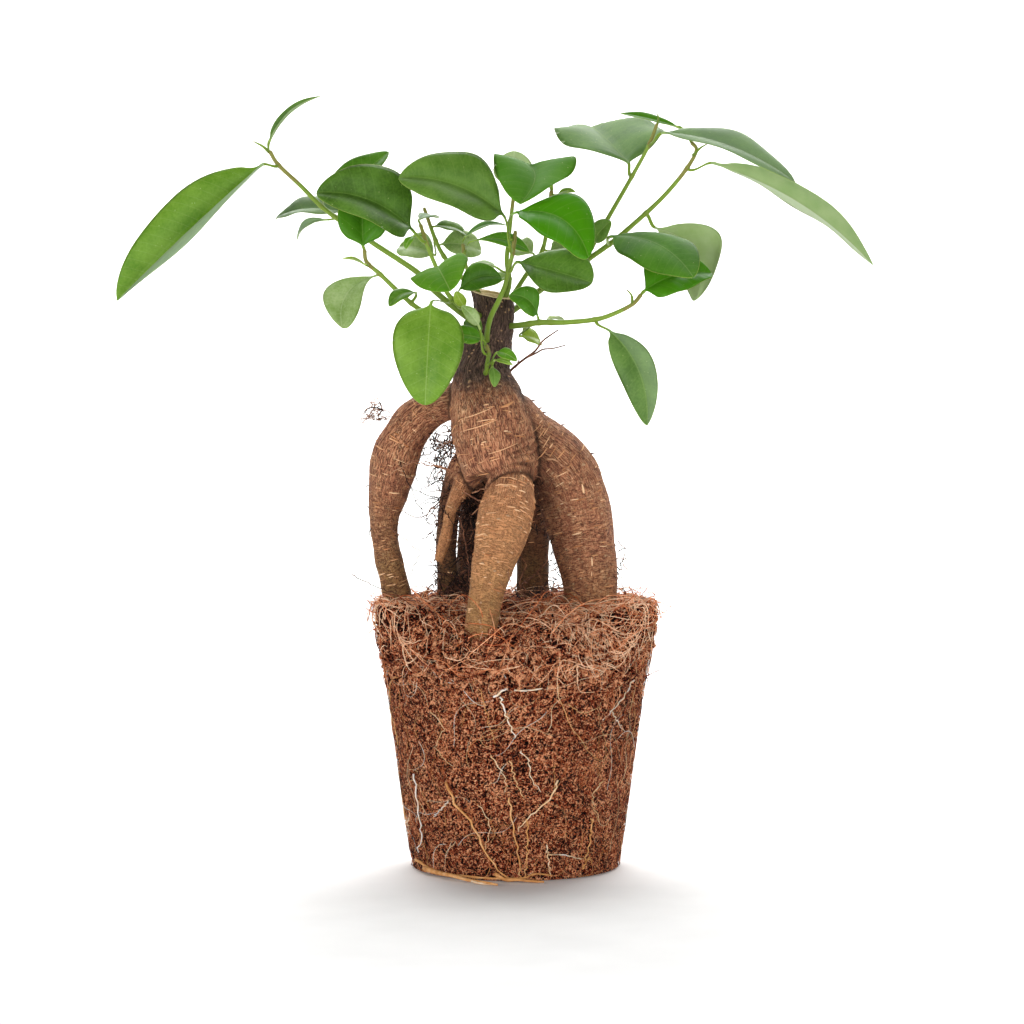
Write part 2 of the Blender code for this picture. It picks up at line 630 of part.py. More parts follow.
def main():
    for thing in list(bpy.data.objects):
        bpy.data.objects.remove(thing)
    trunk = build_trunk()
    build_ball(trunk)
    tree = solid_tree(trunk)
    build_twig(tree)
    trees = {}
    for name, (foot, tip, points) in SHOOTS.items():
        ahead = [tree]
        if name == "shoot_right_upper":
            ahead.append(trees["shoot_right_main"])
        shoot = build_shoot(name, foot, tip, points, ahead)
        trees[name] = solid_tree(bpy.data.objects[name])
        for leaf, row in LEAVES[name].items():
            build_leaf(leaf, shoot, row)


main()
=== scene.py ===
# %% [markdown]
# # A ginseng ficus bonsai on its bare root ball
#
# A ginseng ficus is a fig tree grown from seed for its swollen, tuberous roots. The grower cuts the trunk back,
# grafts leafy shoots round the cut, and lifts the plant so that the roots stand in the air like legs. This plant
# has come out of its nursery pot, so the potting coir keeps the pot's shape and shows every fine root.
#
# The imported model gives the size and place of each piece. Each cell below dresses one kind of piece: bark, coir,
# fine roots, stems and leaves, then the studio.

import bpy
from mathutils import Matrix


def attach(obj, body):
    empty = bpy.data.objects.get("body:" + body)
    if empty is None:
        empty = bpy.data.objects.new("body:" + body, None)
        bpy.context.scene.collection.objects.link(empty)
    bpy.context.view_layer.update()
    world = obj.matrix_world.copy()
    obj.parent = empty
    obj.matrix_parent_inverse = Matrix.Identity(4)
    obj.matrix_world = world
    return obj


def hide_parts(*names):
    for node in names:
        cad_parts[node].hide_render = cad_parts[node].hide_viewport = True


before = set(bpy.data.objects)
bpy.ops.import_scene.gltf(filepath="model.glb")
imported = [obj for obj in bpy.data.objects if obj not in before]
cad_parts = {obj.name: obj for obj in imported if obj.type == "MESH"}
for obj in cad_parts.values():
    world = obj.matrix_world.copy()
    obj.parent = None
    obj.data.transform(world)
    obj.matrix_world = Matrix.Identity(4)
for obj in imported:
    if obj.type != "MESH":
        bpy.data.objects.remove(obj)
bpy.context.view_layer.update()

# %% [markdown]
# ## Helpers
#
# All design sizes are in millimetres, and a mesh turns them into metres when it is made. Colours are written the
# way a paint program shows them, as sRGB hex codes, but a shader works in linear light, so one function converts
# them.

# %% Units, colours and one function that adds a shader node
import math

import bmesh
import bpy
import numpy as np
from mathutils import Vector, noise
from mathutils.bvhtree import BVHTree

MM = 0.001


def linear(code):
    """A hex colour as linear red, green, blue and alpha."""
    out = []
    for i in (1, 3, 5):
        c = int(code[i:i + 2], 16) / 255
        out.append(c / 12.92 if c <= 0.04045 else ((c + 0.055) / 1.055) ** 2.4)
    return (*out, 1.0)


def add(material, kind, links=None, stops=None, **settings):
    """Adds a shader node, feeds its sockets from `links`, sets its properties, and returns its outputs."""
    node = material.node_tree.nodes.new("ShaderNode" + kind)
    for name, value in settings.items():
        setattr(node, name, value)
    if stops:
        ramp = node.color_ramp
        ramp.elements.remove(ramp.elements[1])
        ramp.elements[0].position, ramp.elements[0].color = stops[0][0], linear(stops[0][1])
        for place, colour in stops[1:]:
            ramp.elements.new(place).color = linear(colour)
    for socket, value in (links or {}).items():
        if isinstance(value, bpy.types.NodeSocket):
            material.node_tree.links.new(value, node.inputs[socket])
        else:
            node.inputs[socket].default_value = value
    return node.outputs


def new_material(name, **sockets):
    """A Principled material with fixed socket values, and the function that links an output to its shader."""
    material = bpy.data.materials.new(name)
    material.use_nodes = True
    shader = material.node_tree.nodes["Principled BSDF"]
    for socket, value in sockets.items():
        shader.inputs[socket.replace("_", " ")].default_value = value
    return material, lambda socket, output: material.node_tree.links.new(output, shader.inputs[socket])


print("Helpers ready")

# %% [markdown]
# ## Lines and tubes
#
# Roots, stems, leaf stalks and fibres are all the same idea: a smooth line with a thickness that changes along
# it. `spline` runs a smooth line through a few chosen points. `carry` takes a pair of side directions along the
# line without twisting them. `tube_mesh` then builds many closed tubes at once with arrays, which is how
# thousands of coir fibres stay quick to make.


# %% Smooth lines and frames along them
def catmull_rom(a, b, c, d, t):
    """The point at share t of the way from b to c, on a smooth line through a, b, c and d."""
    return 0.5 * (2 * b + (c - a) * t + (2 * a - 5 * b + 4 * c - d) * t**2 + (3 * b - a - 3 * c + d) * t**3)


def spline(points, spacing):
    """Points about one spacing apart on a smooth line through rows of any width."""
    rows = np.array(points, float)
    rows = np.vstack([2 * rows[0] - rows[1], rows, 2 * rows[-1] - rows[-2]])
    out = []
    for a, b, c, d in zip(rows, rows[1:], rows[2:], rows[3:]):
        steps = max(1, round(np.linalg.norm(c[:3] - b[:3]) / spacing))
        out += [catmull_rom(a, b, c, d, t) for t in np.arange(steps) / steps]
    out.append(rows[-2])
    return np.array(out)


def unit(v):
    return v / np.maximum(np.linalg.norm(v, axis=-1, keepdims=True), 1e-9)


def carry(lines):
    """Tangent, side and normal along each of many lines, shaped (lines, points, 3)."""
    tangent = unit(np.gradient(lines, axis=1))
    side = np.where(np.abs(tangent[:, 0, 1:2]) < 0.9, [[0, -1, 0.2]], [[1.0, 0, 0]])
    sides = np.empty_like(lines)
    for i in range(lines.shape[1]):
        side = unit(side - tangent[:, i] * np.sum(side * tangent[:, i], axis=1, keepdims=True))
        sides[:, i] = side
    return tangent, sides, np.cross(tangent, sides)


sample = spline([(0, 0, 0), (1, 0, 0), (2, 1, 0), (3, 1, 0)], 0.25)
print("Spline through four points:", len(sample), "points")


# %% Meshes from arrays
def mesh_piece(name, points, faces, materials, attributes=None, slots=None, smooth=True):
    """One mesh object from points in millimetres, with per-point attributes for its materials."""
    mesh = bpy.data.meshes.new(name)
    mesh.from_pydata((np.asarray(points) * MM).tolist(), [], faces)
    for material in materials:
        mesh.materials.append(material)
    for key, values in (attributes or {}).items():
        values = np.asarray(values, np.float32)
        kind, field = ("FLOAT_VECTOR", "vector") if values.ndim == 2 else ("FLOAT", "value")
        mesh.attributes.new(key, kind, "POINT").data.foreach_set(field, values.ravel())
    if slots is not None:
        mesh.polygons.foreach_set("material_index", np.asarray(slots, np.int32))
    mesh.polygons.foreach_set("use_smooth", np.full(len(mesh.polygons), smooth))
    mesh.update()
    piece = bpy.data.objects.new(name, mesh)
    bpy.context.scene.collection.objects.link(piece)
    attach(piece, "root")
    return piece


def ring_quads(index):
    """Quads between neighbouring rings, from point numbers shaped (..., rings, sides)."""
    turned = np.roll(index, -1, axis=-1)
    return np.stack([index[..., :-1, :], turned[..., :-1, :], turned[..., 1:, :], index[..., 1:, :]], axis=-1)


def per_vertex(mesh, field):
    """A vector of each vertex, such as its place or its normal, as one row each."""
    values = np.empty(len(mesh.vertices) * 3)
    mesh.vertices.foreach_get(field, values)
    return values.reshape(-1, 3)


def tube_mesh(name, lines, radii, sides, material, tones=None):
    """Many closed tubes in one mesh: lines (n, k, 3) and radii (n, k), all in millimetres."""
    n, k, _ = lines.shape
    _, u, v = carry(lines)
    angle = np.arange(sides) * math.tau / sides
    ring = u[:, :, None] * np.cos(angle)[:, None] + v[:, :, None] * np.sin(angle)[:, None]
    points = (lines[:, :, None] + ring * radii[:, :, None, None]).reshape(-1, 3)
    index = np.arange(n * k * sides).reshape(n, k, sides)
    faces = ring_quads(index).reshape(-1, 4).tolist() + index[:, 0, ::-1].tolist() + index[:, -1].tolist()
    tones = np.zeros(n) if tones is None else np.asarray(tones)
    along = np.broadcast_to(np.linspace(0, 1, k)[None, :, None], (n, k, sides))
    values = {"tone": np.repeat(tones, k * sides), "along": along.ravel()}
    return mesh_piece(name, points, faces, [material], values)


print("Mesh helpers ready")

# %% [markdown]
# ## The tuberous trunk: shape
#
# Each root is a tapering tube round a line of listed points. A voxel remesh melts all the tubes into one skin,
# and smoothing rounds the places where they meet, the way wood grows over a crotch. The voxels are under a
# millimetre, so the skin can then carry bark relief.

# %% The roots' centre lines and radii in millimetres
ROOTS = {
    "core": [
        (-11.0, 0.0, 238.0, 8.2),
        (-9.5, 0.0, 229.0, 8.3),
        (-8.5, -1.0, 218.5, 8.3),
        (-11.0, -2.0, 208.5, 9.2),
        (-13.0, -3.0, 198.0, 11.6),
        (-11.5, -5.0, 187.5, 14.8),
        (-9.0, -9.0, 176.0, 16.7),
        (-7.5, -12.0, 166.5, 16.4),
        (-5.5, -13.5, 158.5, 14.6),
    ],
    "front": [
        (-1.0, -9.0, 160.5, 8.5),
        (-1.5, -16.5, 155.0, 9.2),
        (-2.5, -25.0, 147.5, 10.6),
        (-5.0, -31.0, 136.5, 10.7),
        (-8.5, -35.0, 124.0, 8.8),
        (-11.5, -38.0, 111.5, 7.0),
        (-13.5, -40.0, 97.0, 6.3),
        (-14.0, -40.0, 86.0, 5.0),
    ],
    "right": [
        (-4.0, -5.0, 179.0, 14.0),
        (4.5, -3.0, 171.5, 12.5),
        (14.5, -1.0, 163.5, 13.6),
        (21.0, 1.0, 154.0, 14.3),
        (24.0, 1.0, 144.0, 14.5),
        (27.0, 0.0, 131.0, 12.9),
        (29.3, -2.0, 117.0, 11.5),
        (30.0, -3.0, 105.0, 10.5),
        (30.5, -3.0, 90.0, 8.0),
    ],
    "left": [
        (-18.0, 0.0, 188.0, 8.0),
        (-28.0, 2.0, 185.8, 7.6),
        (-36.5, 4.0, 181.5, 8.3),
        (-44.0, 6.0, 173.0, 9.2),
        (-49.0, 7.0, 161.0, 9.8),
        (-51.7, 8.0, 148.5, 8.2),
        (-53.0, 8.0, 137.5, 6.4),
        (-52.0, 7.0, 126.5, 5.7),
        (-49.5, 6.0, 116.5, 5.8),
        (-47.0, 6.0, 106.5, 6.2),
        (-44.5, 6.0, 92.0, 5.0),
    ],
    "back_left": [
        (-19.0, 8.0, 162.0, 7.0),
        (-25.5, 14.0, 149.5, 5.0),
        (-28.0, 17.0, 130.0, 4.4),
        (-28.0, 17.0, 115.5, 4.2),
        (-28.0, 16.0, 104.5, 4.2),
        (-27.5, 16.0, 90.0, 3.8),
    ],
    "hanging": [
        (-16.5, -6.0, 159.0, 6.0),
        (-21.5, -8.0, 152.0, 4.6),
        (-25.0, -9.0, 145.0, 3.2),
        (-27.0, -9.0, 136.0, 2.9),
        (-29.0, -8.0, 128.0, 2.7),
        (-31.0, -8.0, 122.0, 2.3),
    ],
    "back_right": [
        (-1.5, 8.0, 164.5, 10.0),
        (4.5, 20.0, 146.0, 8.5),
        (7.0, 27.0, 127.5, 7.2),
        (7.0, 29.0, 113.0, 6.8),
        (7.5, 29.0, 102.5, 6.8),
        (7.5, 29.0, 90.0, 5.6),
    ],
    "back": [
        (-12.0, 6.0, 166.5, 9.0),
        (-16.0, 22.0, 146.0, 6.5),
        (-18.5, 31.0, 125.0, 5.8),
        (-19.5, 33.0, 104.5, 5.6),
        (-19.5, 33.0, 90.0, 4.6),
    ],
}

print("Roots:", ", ".join(ROOTS))

# %% One skin round all the roots
VOXEL = 0.85             # mm, a little finer than the bark's coarse relief
SMOOTHING = 34           # passes, which round a crotch by about two millimetres
TUBE_SIDES = 16
CUT_POINT = Vector((-9.5, 0, 229.0))
CUT_NORMAL = Vector((0.19, -0.17, 0.97)).normalized()   # leans to the right and a little forward, to show the wood


def melted_skin():
    """The evaluated mesh of all root tubes after remeshing and smoothing, in metres."""
    bm = bmesh.new()
    for rows in ROOTS.values():
        rows = spline(rows, 3.0)
        _, u, v = carry(rows[None, :, :3])
        rings = []
        for point, a, b, radius in zip(rows[:, :3], u[0], v[0], rows[:, 3]):
            turns = [math.tau * i / TUBE_SIDES for i in range(TUBE_SIDES)]
            rings.append([bm.verts.new((point + (a * math.cos(w) + b * math.sin(w)) * radius) * MM)
                          for w in turns])
        for low, high in zip(rings, rings[1:]):
            for i in range(TUBE_SIDES):
                after = (i + 1) % TUBE_SIDES
                bm.faces.new((low[i], low[after], high[after], high[i]))
        bm.faces.new(rings[0][::-1])
        bm.faces.new(rings[-1])
    mesh = bpy.data.meshes.new("root_tubes")
    bm.to_mesh(mesh)
    bm.free()
    tubes = bpy.data.objects.new("root_tubes", mesh)
    bpy.context.scene.collection.objects.link(tubes)
    remesh = tubes.modifiers.new("melt", "REMESH")
    remesh.mode, remesh.voxel_size = "VOXEL", VOXEL * MM
    smooth = tubes.modifiers.new("grow", "SMOOTH")
    smooth.factor, smooth.iterations = 0.5, SMOOTHING
    bpy.context.view_layer.update()
    evaluated = tubes.evaluated_get(bpy.context.evaluated_depsgraph_get())
    skin = bpy.data.meshes.new_from_object(evaluated)
    bpy.data.objects.remove(tubes)
    return skin


skin = melted_skin()
print("Skin:", len(skin.vertices), "points")

# %% Saw the neck off, with rings of faces in the cut
CALLUS_DEPTHS = (0.5, -0.9, -0.35, 0.1, -0.1, 0.05)   # mm each ring stands out of the last, from the bark inward
CALLUS_STEP = 1.15       # mm between rings of the cut face


def sawn(mesh):
    """Cuts the skin above the saw plane and closes it with insets. Marks the cut faces with material 1."""
    bm = bmesh.new()
    bm.from_mesh(mesh)
    found = bmesh.ops.bisect_plane(bm, geom=[*bm.verts, *bm.edges, *bm.faces], plane_co=CUT_POINT * MM,
                                   plane_no=CUT_NORMAL, clear_outer=True)
    edges = [e for e in found["geom_cut"] if isinstance(e, bmesh.types.BMEdge)]
    face = bmesh.ops.holes_fill(bm, edges=edges, sides=0)["faces"][0]
    for depth in CALLUS_DEPTHS:
        ring = bmesh.ops.inset_region(bm, faces=[face], thickness=CALLUS_STEP * MM, depth=depth * MM)["faces"]
        for part in ring:
            part.material_index = 1
    face.material_index = 1
    bmesh.ops.triangulate(bm, faces=[face])
    bmesh.ops.recalc_face_normals(bm, faces=bm.faces)
    bm.to_mesh(mesh)
    bm.free()


sawn(skin)
print("Sawn skin:", len(skin.polygons), "faces")

# %% [markdown]
# ## The tuberous trunk: bark coordinates
#
# Bark follows each root, so patterns need coordinates that run along the root and round it. For each point of
# the skin the nearest root line gives those. They are stored as a point on a cylinder, (cos, sin, along), rather
# than as an angle, because an angle jumps from 360 back to 0 and would leave a seam.


# %% Coordinates along and round each root
ROOT_OFFSET = 137.0      # mm added along each next root, so that their patterns differ


def root_coordinates(points):
    """For each skin point: place on its root's cylinder in mm, the root's direction, and its gap to every root."""
    gaps, places, runs = [], [], []
    for number, rows in enumerate(ROOTS.values()):
        rows = spline(rows, 2.0)
        line, radius = rows[:, :3], rows[:, 3]
        run = np.concatenate([[0], np.cumsum(np.linalg.norm(np.diff(line, axis=0), axis=1))])
        tangent, u, v = (x[0] for x in carry(line[None]))
        gap = np.linalg.norm(points[:, None] - line[None], axis=2) - radius[None]
        near = gap.argmin(axis=1)
        away = points - line[near]
        spoke = unit(np.stack([np.sum(away * u[near], 1), np.sum(away * v[near], 1)], 1)) * radius.mean()
        along = run[near] + np.sum(away * tangent[near], 1) + ROOT_OFFSET * number
        places.append(np.column_stack([spoke, along]))
        gaps.append(gap[np.arange(len(points)), near])
        runs.append(tangent[near])
    gaps = np.array(gaps)
    owner, every = gaps.argmin(axis=0), np.arange(len(points))
    return np.array(places)[owner, every], np.array(runs)[owner, every], owner, gaps


points = per_vertex(skin, "co") / MM
grain, root_run, owner, gaps = root_coordinates(points)
root_names = list(ROOTS)
print("Points on each root:", dict(zip(root_names, np.bincount(owner).tolist())))

# %% [markdown]
# ## The tuberous trunk: relief
#
# Slow lumps and long streaks are moved into the mesh. The body sags over the front root in a lip, with a groove
# under it that the bark colour later darkens as painted shade, and four or five tight folds above. The difference
# between a point's gap to the body and its gap to the front root is a ruler that starts at that groove, so the lip
# and the folds are drawn along it.


# %% Bark relief moved into the mesh
ABOVE_ALL = 400          # mm, over every point, for a window that is open at the top


def fractal_at(places, scale, octaves):
    """Perlin fractal noise at each place, after scaling it by the vector `scale`."""
    scaled = (places * np.array(scale)).tolist()
    return np.array([noise.fractal(Vector(p), 0.9, 2.1, octaves) for p in scaled])


def window(x, low, high, soft):
    """1 between low and high, falling to 0 over `soft` on both sides."""
    return np.clip((x - low) / soft + 0.5, 0, 1) * np.clip((high - x) / soft + 0.5, 0, 1)


height = points[:, 2]
core = owner == root_names.index("core")
ragged_height = height + 7 * fractal_at(points, (0.12, 0.12, 0.12), 3)
neck = window(ragged_height, 191, ABOVE_ALL, 13) * np.where(core, 1, 0.4)
lumps = fractal_at(points, (0.07, 0.07, 0.06), 2)
streaks = fractal_at(grain, (0.75, 0.75, 0.13), 3)
cracks = fractal_at(grain, (0.55, 0.55, 0.2), 4)
ruler = gaps[root_names.index("front")] - gaps[root_names.index("core")]
in_front = window(points[:, 1], -90, -15, 5) * window(height, 140, 175, 6)
groove = np.exp(-((ruler + 0.3) / 0.75) ** 2) * in_front * np.clip((1 - points[:, 0]) / 10, 0.15, 1)
lip = np.exp(-((ruler - 2.0) / 1.5) ** 2) * in_front
wavy_ruler = ruler + 0.5 * fractal_at(points, (0.2, 0.2, 0.2), 2)
folded = window(ruler, 1.4, 9.0, 2) * window(points[:, 0], -3, 60, 6)
folds = np.cos(math.tau * wavy_ruler / 1.9) * folded * in_front
crotch = np.clip(1 - np.diff(np.sort(gaps, axis=0)[:2], axis=0)[0] / 1.8, 0, 1)
relief = (0.7 * lumps + 0.16 * streaks - 1.1 * groove + 0.35 * lip + 0.65 * folds + 0.6 * neck * cracks
          - 0.35 * crotch)
normals = per_vertex(skin, "normal")
face_slots = np.empty(len(skin.polygons), np.int32)
skin.polygons.foreach_get("material_index", face_slots)
sawn_points = {v for f in skin.polygons if f.material_index == 1 for v in f.vertices}
still = np.ones(len(points))
still[list(sawn_points)] = 0.15
points = points + normals * (relief * still)[:, None]
skin_faces = [list(f.vertices) for f in skin.polygons]
print("Relief from", round(relief.min(), 2), "to", round(relief.max(), 2), "mm")

# %% [markdown]
# ## Ficus bark
#
# Young ficus bark is thin and matt, a warm brown. Fine wavy wrinkles, about a millimetre apart, run along the
# body, and on the legs still finer ones cross them. They are drawn a little coarser than life, or they would not
# show. The front leg is the tannest. Low on the roots the bark is olive, where algae grew in the damp, and the
# old neck is almost black-brown with pale flecks. A rough surface with little gloss gives the eye its dryness.


# %% The bark material
def ficus_bark():
    bark, feed = new_material("ficus_bark_peeled_and_aged", Roughness=0.75, IOR=1.45, Specular_IOR_Level=0.3)
    grain_at = add(bark, "Attribute", attribute_name="grain")["Vector"]
    value = {key: add(bark, "Attribute", attribute_name=key)["Fac"]
             for key in ("neck", "olive", "hollow_shade", "leg", "tan")}
    along = add(bark, "Mapping", {"Vector": grain_at, "Scale": (2.4, 2.4, 0.4)})[0]
    wrinkle = add(bark, "TexNoise", {"Vector": along, "Scale": 1.0, "Detail": 3.0, "Roughness": 0.6,
                                     "Distortion": 0.9})["Fac"]
    across = add(bark, "Mapping", {"Vector": grain_at, "Scale": (0.55, 0.55, 1.8)})[0]
    cross = add(bark, "TexNoise", {"Vector": across, "Scale": 1.0, "Detail": 3.0, "Roughness": 0.65,
                                   "Distortion": 0.9})["Fac"]
    leg_share = add(bark, "Math", {0: value["leg"], 1: 0.55, 2: 0.15}, operation="MULTIPLY_ADD")[0]
    net = add(bark, "Mix", {"Factor": leg_share, 2: wrinkle, 3: cross})[0]
    wander = add(bark, "TexNoise", {"Vector": grain_at, "Scale": 0.4, "Detail": 3.0})["Color"]
    bent = add(bark, "VectorMath", {0: wander, 1: (1.6, 1.6, 2.0), 2: grain_at}, operation="MULTIPLY_ADD")[0]
    slits = [wrinkle_lines(bark, bent, (1.35, 1.35, 0.19)), wrinkle_lines(bark, bent, (0.26, 0.26, 1.35))]
    slit = add(bark, "Mix", {"Factor": leg_share, 2: slits[0], 3: slits[1]})[0]
    patch_place = add(bark, "Mapping", {"Vector": grain_at, "Scale": (0.16, 0.16, 0.12)})[0]
    patch = add(bark, "TexNoise", {"Vector": patch_place, "Scale": 1.0, "Detail": 5.0, "Roughness": 0.6})["Fac"]
    shade = add(bark, "Math", {0: patch, 1: 0.35, 2: net}, operation="MULTIPLY_ADD")[0]
    tone = add(bark, "ValToRGB", {"Fac": shade}, stops=[
        (0.46, "#5f3423"), (0.57, "#9c6247"), (0.67, "#b97c5a"), (0.76, "#ca926a"), (0.86, "#e2b58b")])[0]
    warm = add(bark, "Math", {0: value["tan"], 1: 0.5}, operation="MULTIPLY")[0]
    tone = add(bark, "Mix", {"Factor": warm, 6: tone, 7: linear("#e6a46a")}, data_type="RGBA")[2]
    olive_amount = add(bark, "Math", {0: value["olive"], 1: patch}, operation="MULTIPLY")[0]
    tone = add(bark, "Mix", {"Factor": olive_amount, 6: tone, 7: linear("#866f38")}, data_type="RGBA")[2]
    smooth = add(bark, "Math", {0: value["tan"], 1: -0.35, 2: 0.92}, operation="MULTIPLY_ADD")[0]
    dark = add(bark, "Math", {0: slit, 1: smooth}, operation="MULTIPLY")[0]
    tone = add(bark, "Mix", {"Factor": dark, 6: tone, 7: linear("#40211a")}, data_type="RGBA")[2]
    old = add(bark, "ValToRGB", {"Fac": net}, stops=[
        (0.35, "#181010"), (0.46, "#43312b"), (0.57, "#70584c"), (0.7, "#a5826c")])[0]
    tone = add(bark, "Mix", {"Factor": value["neck"], 6: tone, 7: old}, data_type="RGBA")[2]
    # Painted shade: the bark goes near-black in crotches, grooves, fold valleys and under the body.
    tone = add(bark, "Mix", {"Factor": value["hollow_shade"], 6: tone, 7: linear("#1c0f0a")}, data_type="RGBA")[2]
    fleck = pale_flecks(bark, grain_at, value["neck"])
    tone = add(bark, "Mix", {"Factor": fleck, 6: tone, 7: linear("#c9a079")}, data_type="RGBA")[2]
    feed("Base Color", tone)
    raised = add(bark, "Math", {0: fleck, 1: 0.4, 2: net}, operation="MULTIPLY_ADD")[0]
    raised = add(bark, "Math", {0: slit, 1: -0.45, 2: raised}, operation="MULTIPLY_ADD")[0]
    feed("Normal", add(bark, "Bump", {"Height": raised, "Strength": 1.0, "Distance": 0.9 * MM})[0])
    return bark


def wrinkle_lines(bark, place, scale):
    """Fine wavy lines where a stretched noise crosses its middle, about one over the scale in mm apart."""
    stretched = add(bark, "Mapping", {"Vector": place, "Scale": scale})[0]
    wave = add(bark, "TexNoise", {"Vector": stretched, "Scale": 1.0, "Detail": 2.0, "Roughness": 0.5})["Fac"]
    off = add(bark, "Math", {0: wave, 1: 0.5}, operation="SUBTRACT")[0]
    off = add(bark, "Math", {0: off}, operation="ABSOLUTE")[0]
    return add(bark, "MapRange", {"Value": off, "From Min": 0.06, "From Max": 0.01})[0]


def pale_flecks(bark, grain_at, neck_at):
    """Corky flecks about 1.5 mm wide and half as high, most of them on the neck, as a mask."""
    place = add(bark, "Mapping", {"Vector": grain_at, "Scale": (0.36, 0.36, 0.62)})[0]
    cell = add(bark, "TexVoronoi", {"Vector": place, "Scale": 1.0, "Randomness": 1.0})
    small = add(bark, "MapRange", {"Value": cell["Distance"], "From Min": 0.3, "From Max": 0.16})[0]
    draw = add(bark, "SeparateColor", {"Color": cell["Color"]})[0]
    bar = add(bark, "Math", {0: neck_at, 1: -0.34, 2: 0.93}, operation="MULTIPLY_ADD")[0]
    kept = add(bark, "Math", {0: draw, 1: bar}, operation="GREATER_THAN")[0]
    return add(bark, "Math", {0: small, 1: kept}, operation="MULTIPLY")[0]


BARK = ficus_bark()
print("Bark nodes:", len(BARK.node_tree.nodes))

# %% [markdown]
# ## The sawn top
#
# The saw left end grain, which dries to a greyed straw colour with a darker pith, and the bark rolls a little
# over its edge. Rings are drawn with a wave texture about the neck's own axis, a millimetre apart.


# %% The sawn wood material, and the finished trunk
def sawn_ficus_wood():
    wood, feed = new_material("ficus_end_grain_sawn_and_dried", Roughness=0.85, IOR=1.5, Specular_IOR_Level=0.25)
    place = add(wood, "TexCoord")["Object"]
    centred = add(wood, "Mapping", {"Vector": place, "Location": (9.5 * MM, 0, 0)})[0]
    rings = add(wood, "TexWave", {"Vector": centred, "Scale": 260.0, "Distortion": 4.0, "Detail": 3.0},
                wave_type="RINGS", rings_direction="Z")["Fac"]
    feed("Base Color", add(wood, "ValToRGB", {"Fac": rings}, stops=[
        (0.1, "#a3855c"), (0.5, "#c2a67d"), (0.9, "#d8c29a")])[0])
    feed("Normal", add(wood, "Bump", {"Height": rings, "Strength": 0.5, "Distance": 0.25 * MM})[0])
    return wood


def on_roots(*names):
    """1 on the skin of the named roots, 0 elsewhere."""
    return np.isin(owner, [root_names.index(name) for name in names]).astype(float)


# Painted shade: the bark is darkened in crotches, in the groove under the lip, in the valleys of the folds, on the
# inner side of the right leg and under the body, where shade falls.
hollow_shade = np.clip(crotch * np.clip(0.7 - lumps, 0, 1) + 0.7 * groove + 0.6 * np.clip(-folds, 0, 1), 0, 1) * 0.8
under = window(height, 96, 157, 10) * window(points[:, 1], -8, 60, 10)
inner_leg_shade = np.clip((19 - points[:, 0]) / 10, 0, 1) * window(height, 104, 172, 12) * on_roots("right")
roofed_shade = under * on_roots("core", "back", "back_left", "back_right")
hollow_shade = np.clip(hollow_shade + 0.55 * inner_leg_shade + 0.5 * roofed_shade, 0, 0.85)
olive = window(height, -50, 134, 40) * on_roots("front", "left", "back_left", "back_right", "back")
olive = np.clip((0.8 - 0.45 * on_roots("front")) * olive + 0.5 * window(height, -50, 118, 20), 0, 1)
leg = window(height, -50, 150, 30) * (1 - on_roots("core"))
trunk = mesh_piece("tuberous_trunk", points, skin_faces, [BARK, sawn_ficus_wood()],
                   {"grain": grain, "neck": neck, "olive": olive, "hollow_shade": hollow_shade, "leg": leg,
                    "tan": on_roots("front", "hanging") * np.clip((168 - height) / 28, 0.1, 1)}, face_slots)
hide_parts("trunk")
bpy.data.meshes.remove(skin)
print("Trunk:", len(trunk.data.polygons), "faces")

# %% [markdown]
# ## Lenticels and scars
#
# Lenticels are corky slits that let bark breathe. On a ficus root they are thin raised dashes that lie across the
# root, longest on the body, where growth has stretched them. They catch the light along their tops, so they are
# made as half-sunk threads and not painted. The long ones are listed one by one, and the short ones come from a
# seeded draw of places on each root. A search tree of the skin drops every point of a dash onto the bark.

# %% The skin's search tree, and cork
bark_tree = BVHTree.FromPolygons(points.tolist(), skin_faces)
cork, feed = new_material("corky_lenticel_raised", Roughness=0.8, IOR=1.45, Specular_IOR_Level=0.25)
cork_tone = add(cork, "Attribute", attribute_name="tone")["Fac"]
feed("Base Color", add(cork, "ValToRGB", {"Fac": cork_tone}, stops=[
    (0, "#ad7048"), (0.5, "#d79e70"), (1, "#efc79c")])[0])


def onto_bark(places, lift):
    """Each place moved to the nearest point of the bark, and out of it by `lift` mm."""
    found = [bark_tree.find_nearest(Vector(p)) for p in places.reshape(-1, 3).tolist()]
    return np.array([hit[0] + hit[1] * lift for hit in found]).reshape(places.shape)


def seen_from_front(x, z):
    """The bark's nearest point to the front at x and z."""
    hit = bark_tree.ray_cast(Vector((x, -90, z)), Vector((0, 1, 0)))[0]
    return hit if hit else Vector((x, -20, z))


print("Bark tree ready")

# %% The long dashes, listed as (x, z) ends on the front: thickness, tone, ends
LONG_DASHES = [
    (0.40, 0.75, (-21, 179.5), (-9, 184)),
    (0.46, 0.70, (-21.5, 174.5), (-7, 179.2)),
    (0.46, 0.65, (-10.7, 165.8), (0.8, 170)),
    (0.32, 0.40, (-25, 166), (-18.5, 165.6)),
    (0.34, 0.45, (-0.4, 173), (4, 173.8)),
    (0.32, 0.40, (6.6, 174), (10.5, 178)),
    (0.30, 0.35, (1.3, 178.2), (4.5, 179.6)),
    (1.30, 0.25, (-5.6, 184), (-0.8, 186.4)),
    (1.00, 0.90, (26.4, 153.5), (27.2, 149.8)),
    (0.80, 0.95, (30.2, 124.6), (30.4, 121)),
    (0.60, 0.80, (30.2, 119), (30.1, 117)),
]


LONG_STEPS, SHORT_STEPS = 10, 7      # points along a dash


def long_dash(a, b):
    """Points from a to b over the bark, sagging a little in the middle."""
    t = np.linspace(0, 1, LONG_STEPS)
    x, z = a[0] + (b[0] - a[0]) * t, a[1] + (b[1] - a[1]) * t - 0.35 * np.sin(math.pi * t)
    return np.array([seen_from_front(*place) for place in zip(x.tolist(), z.tolist())])


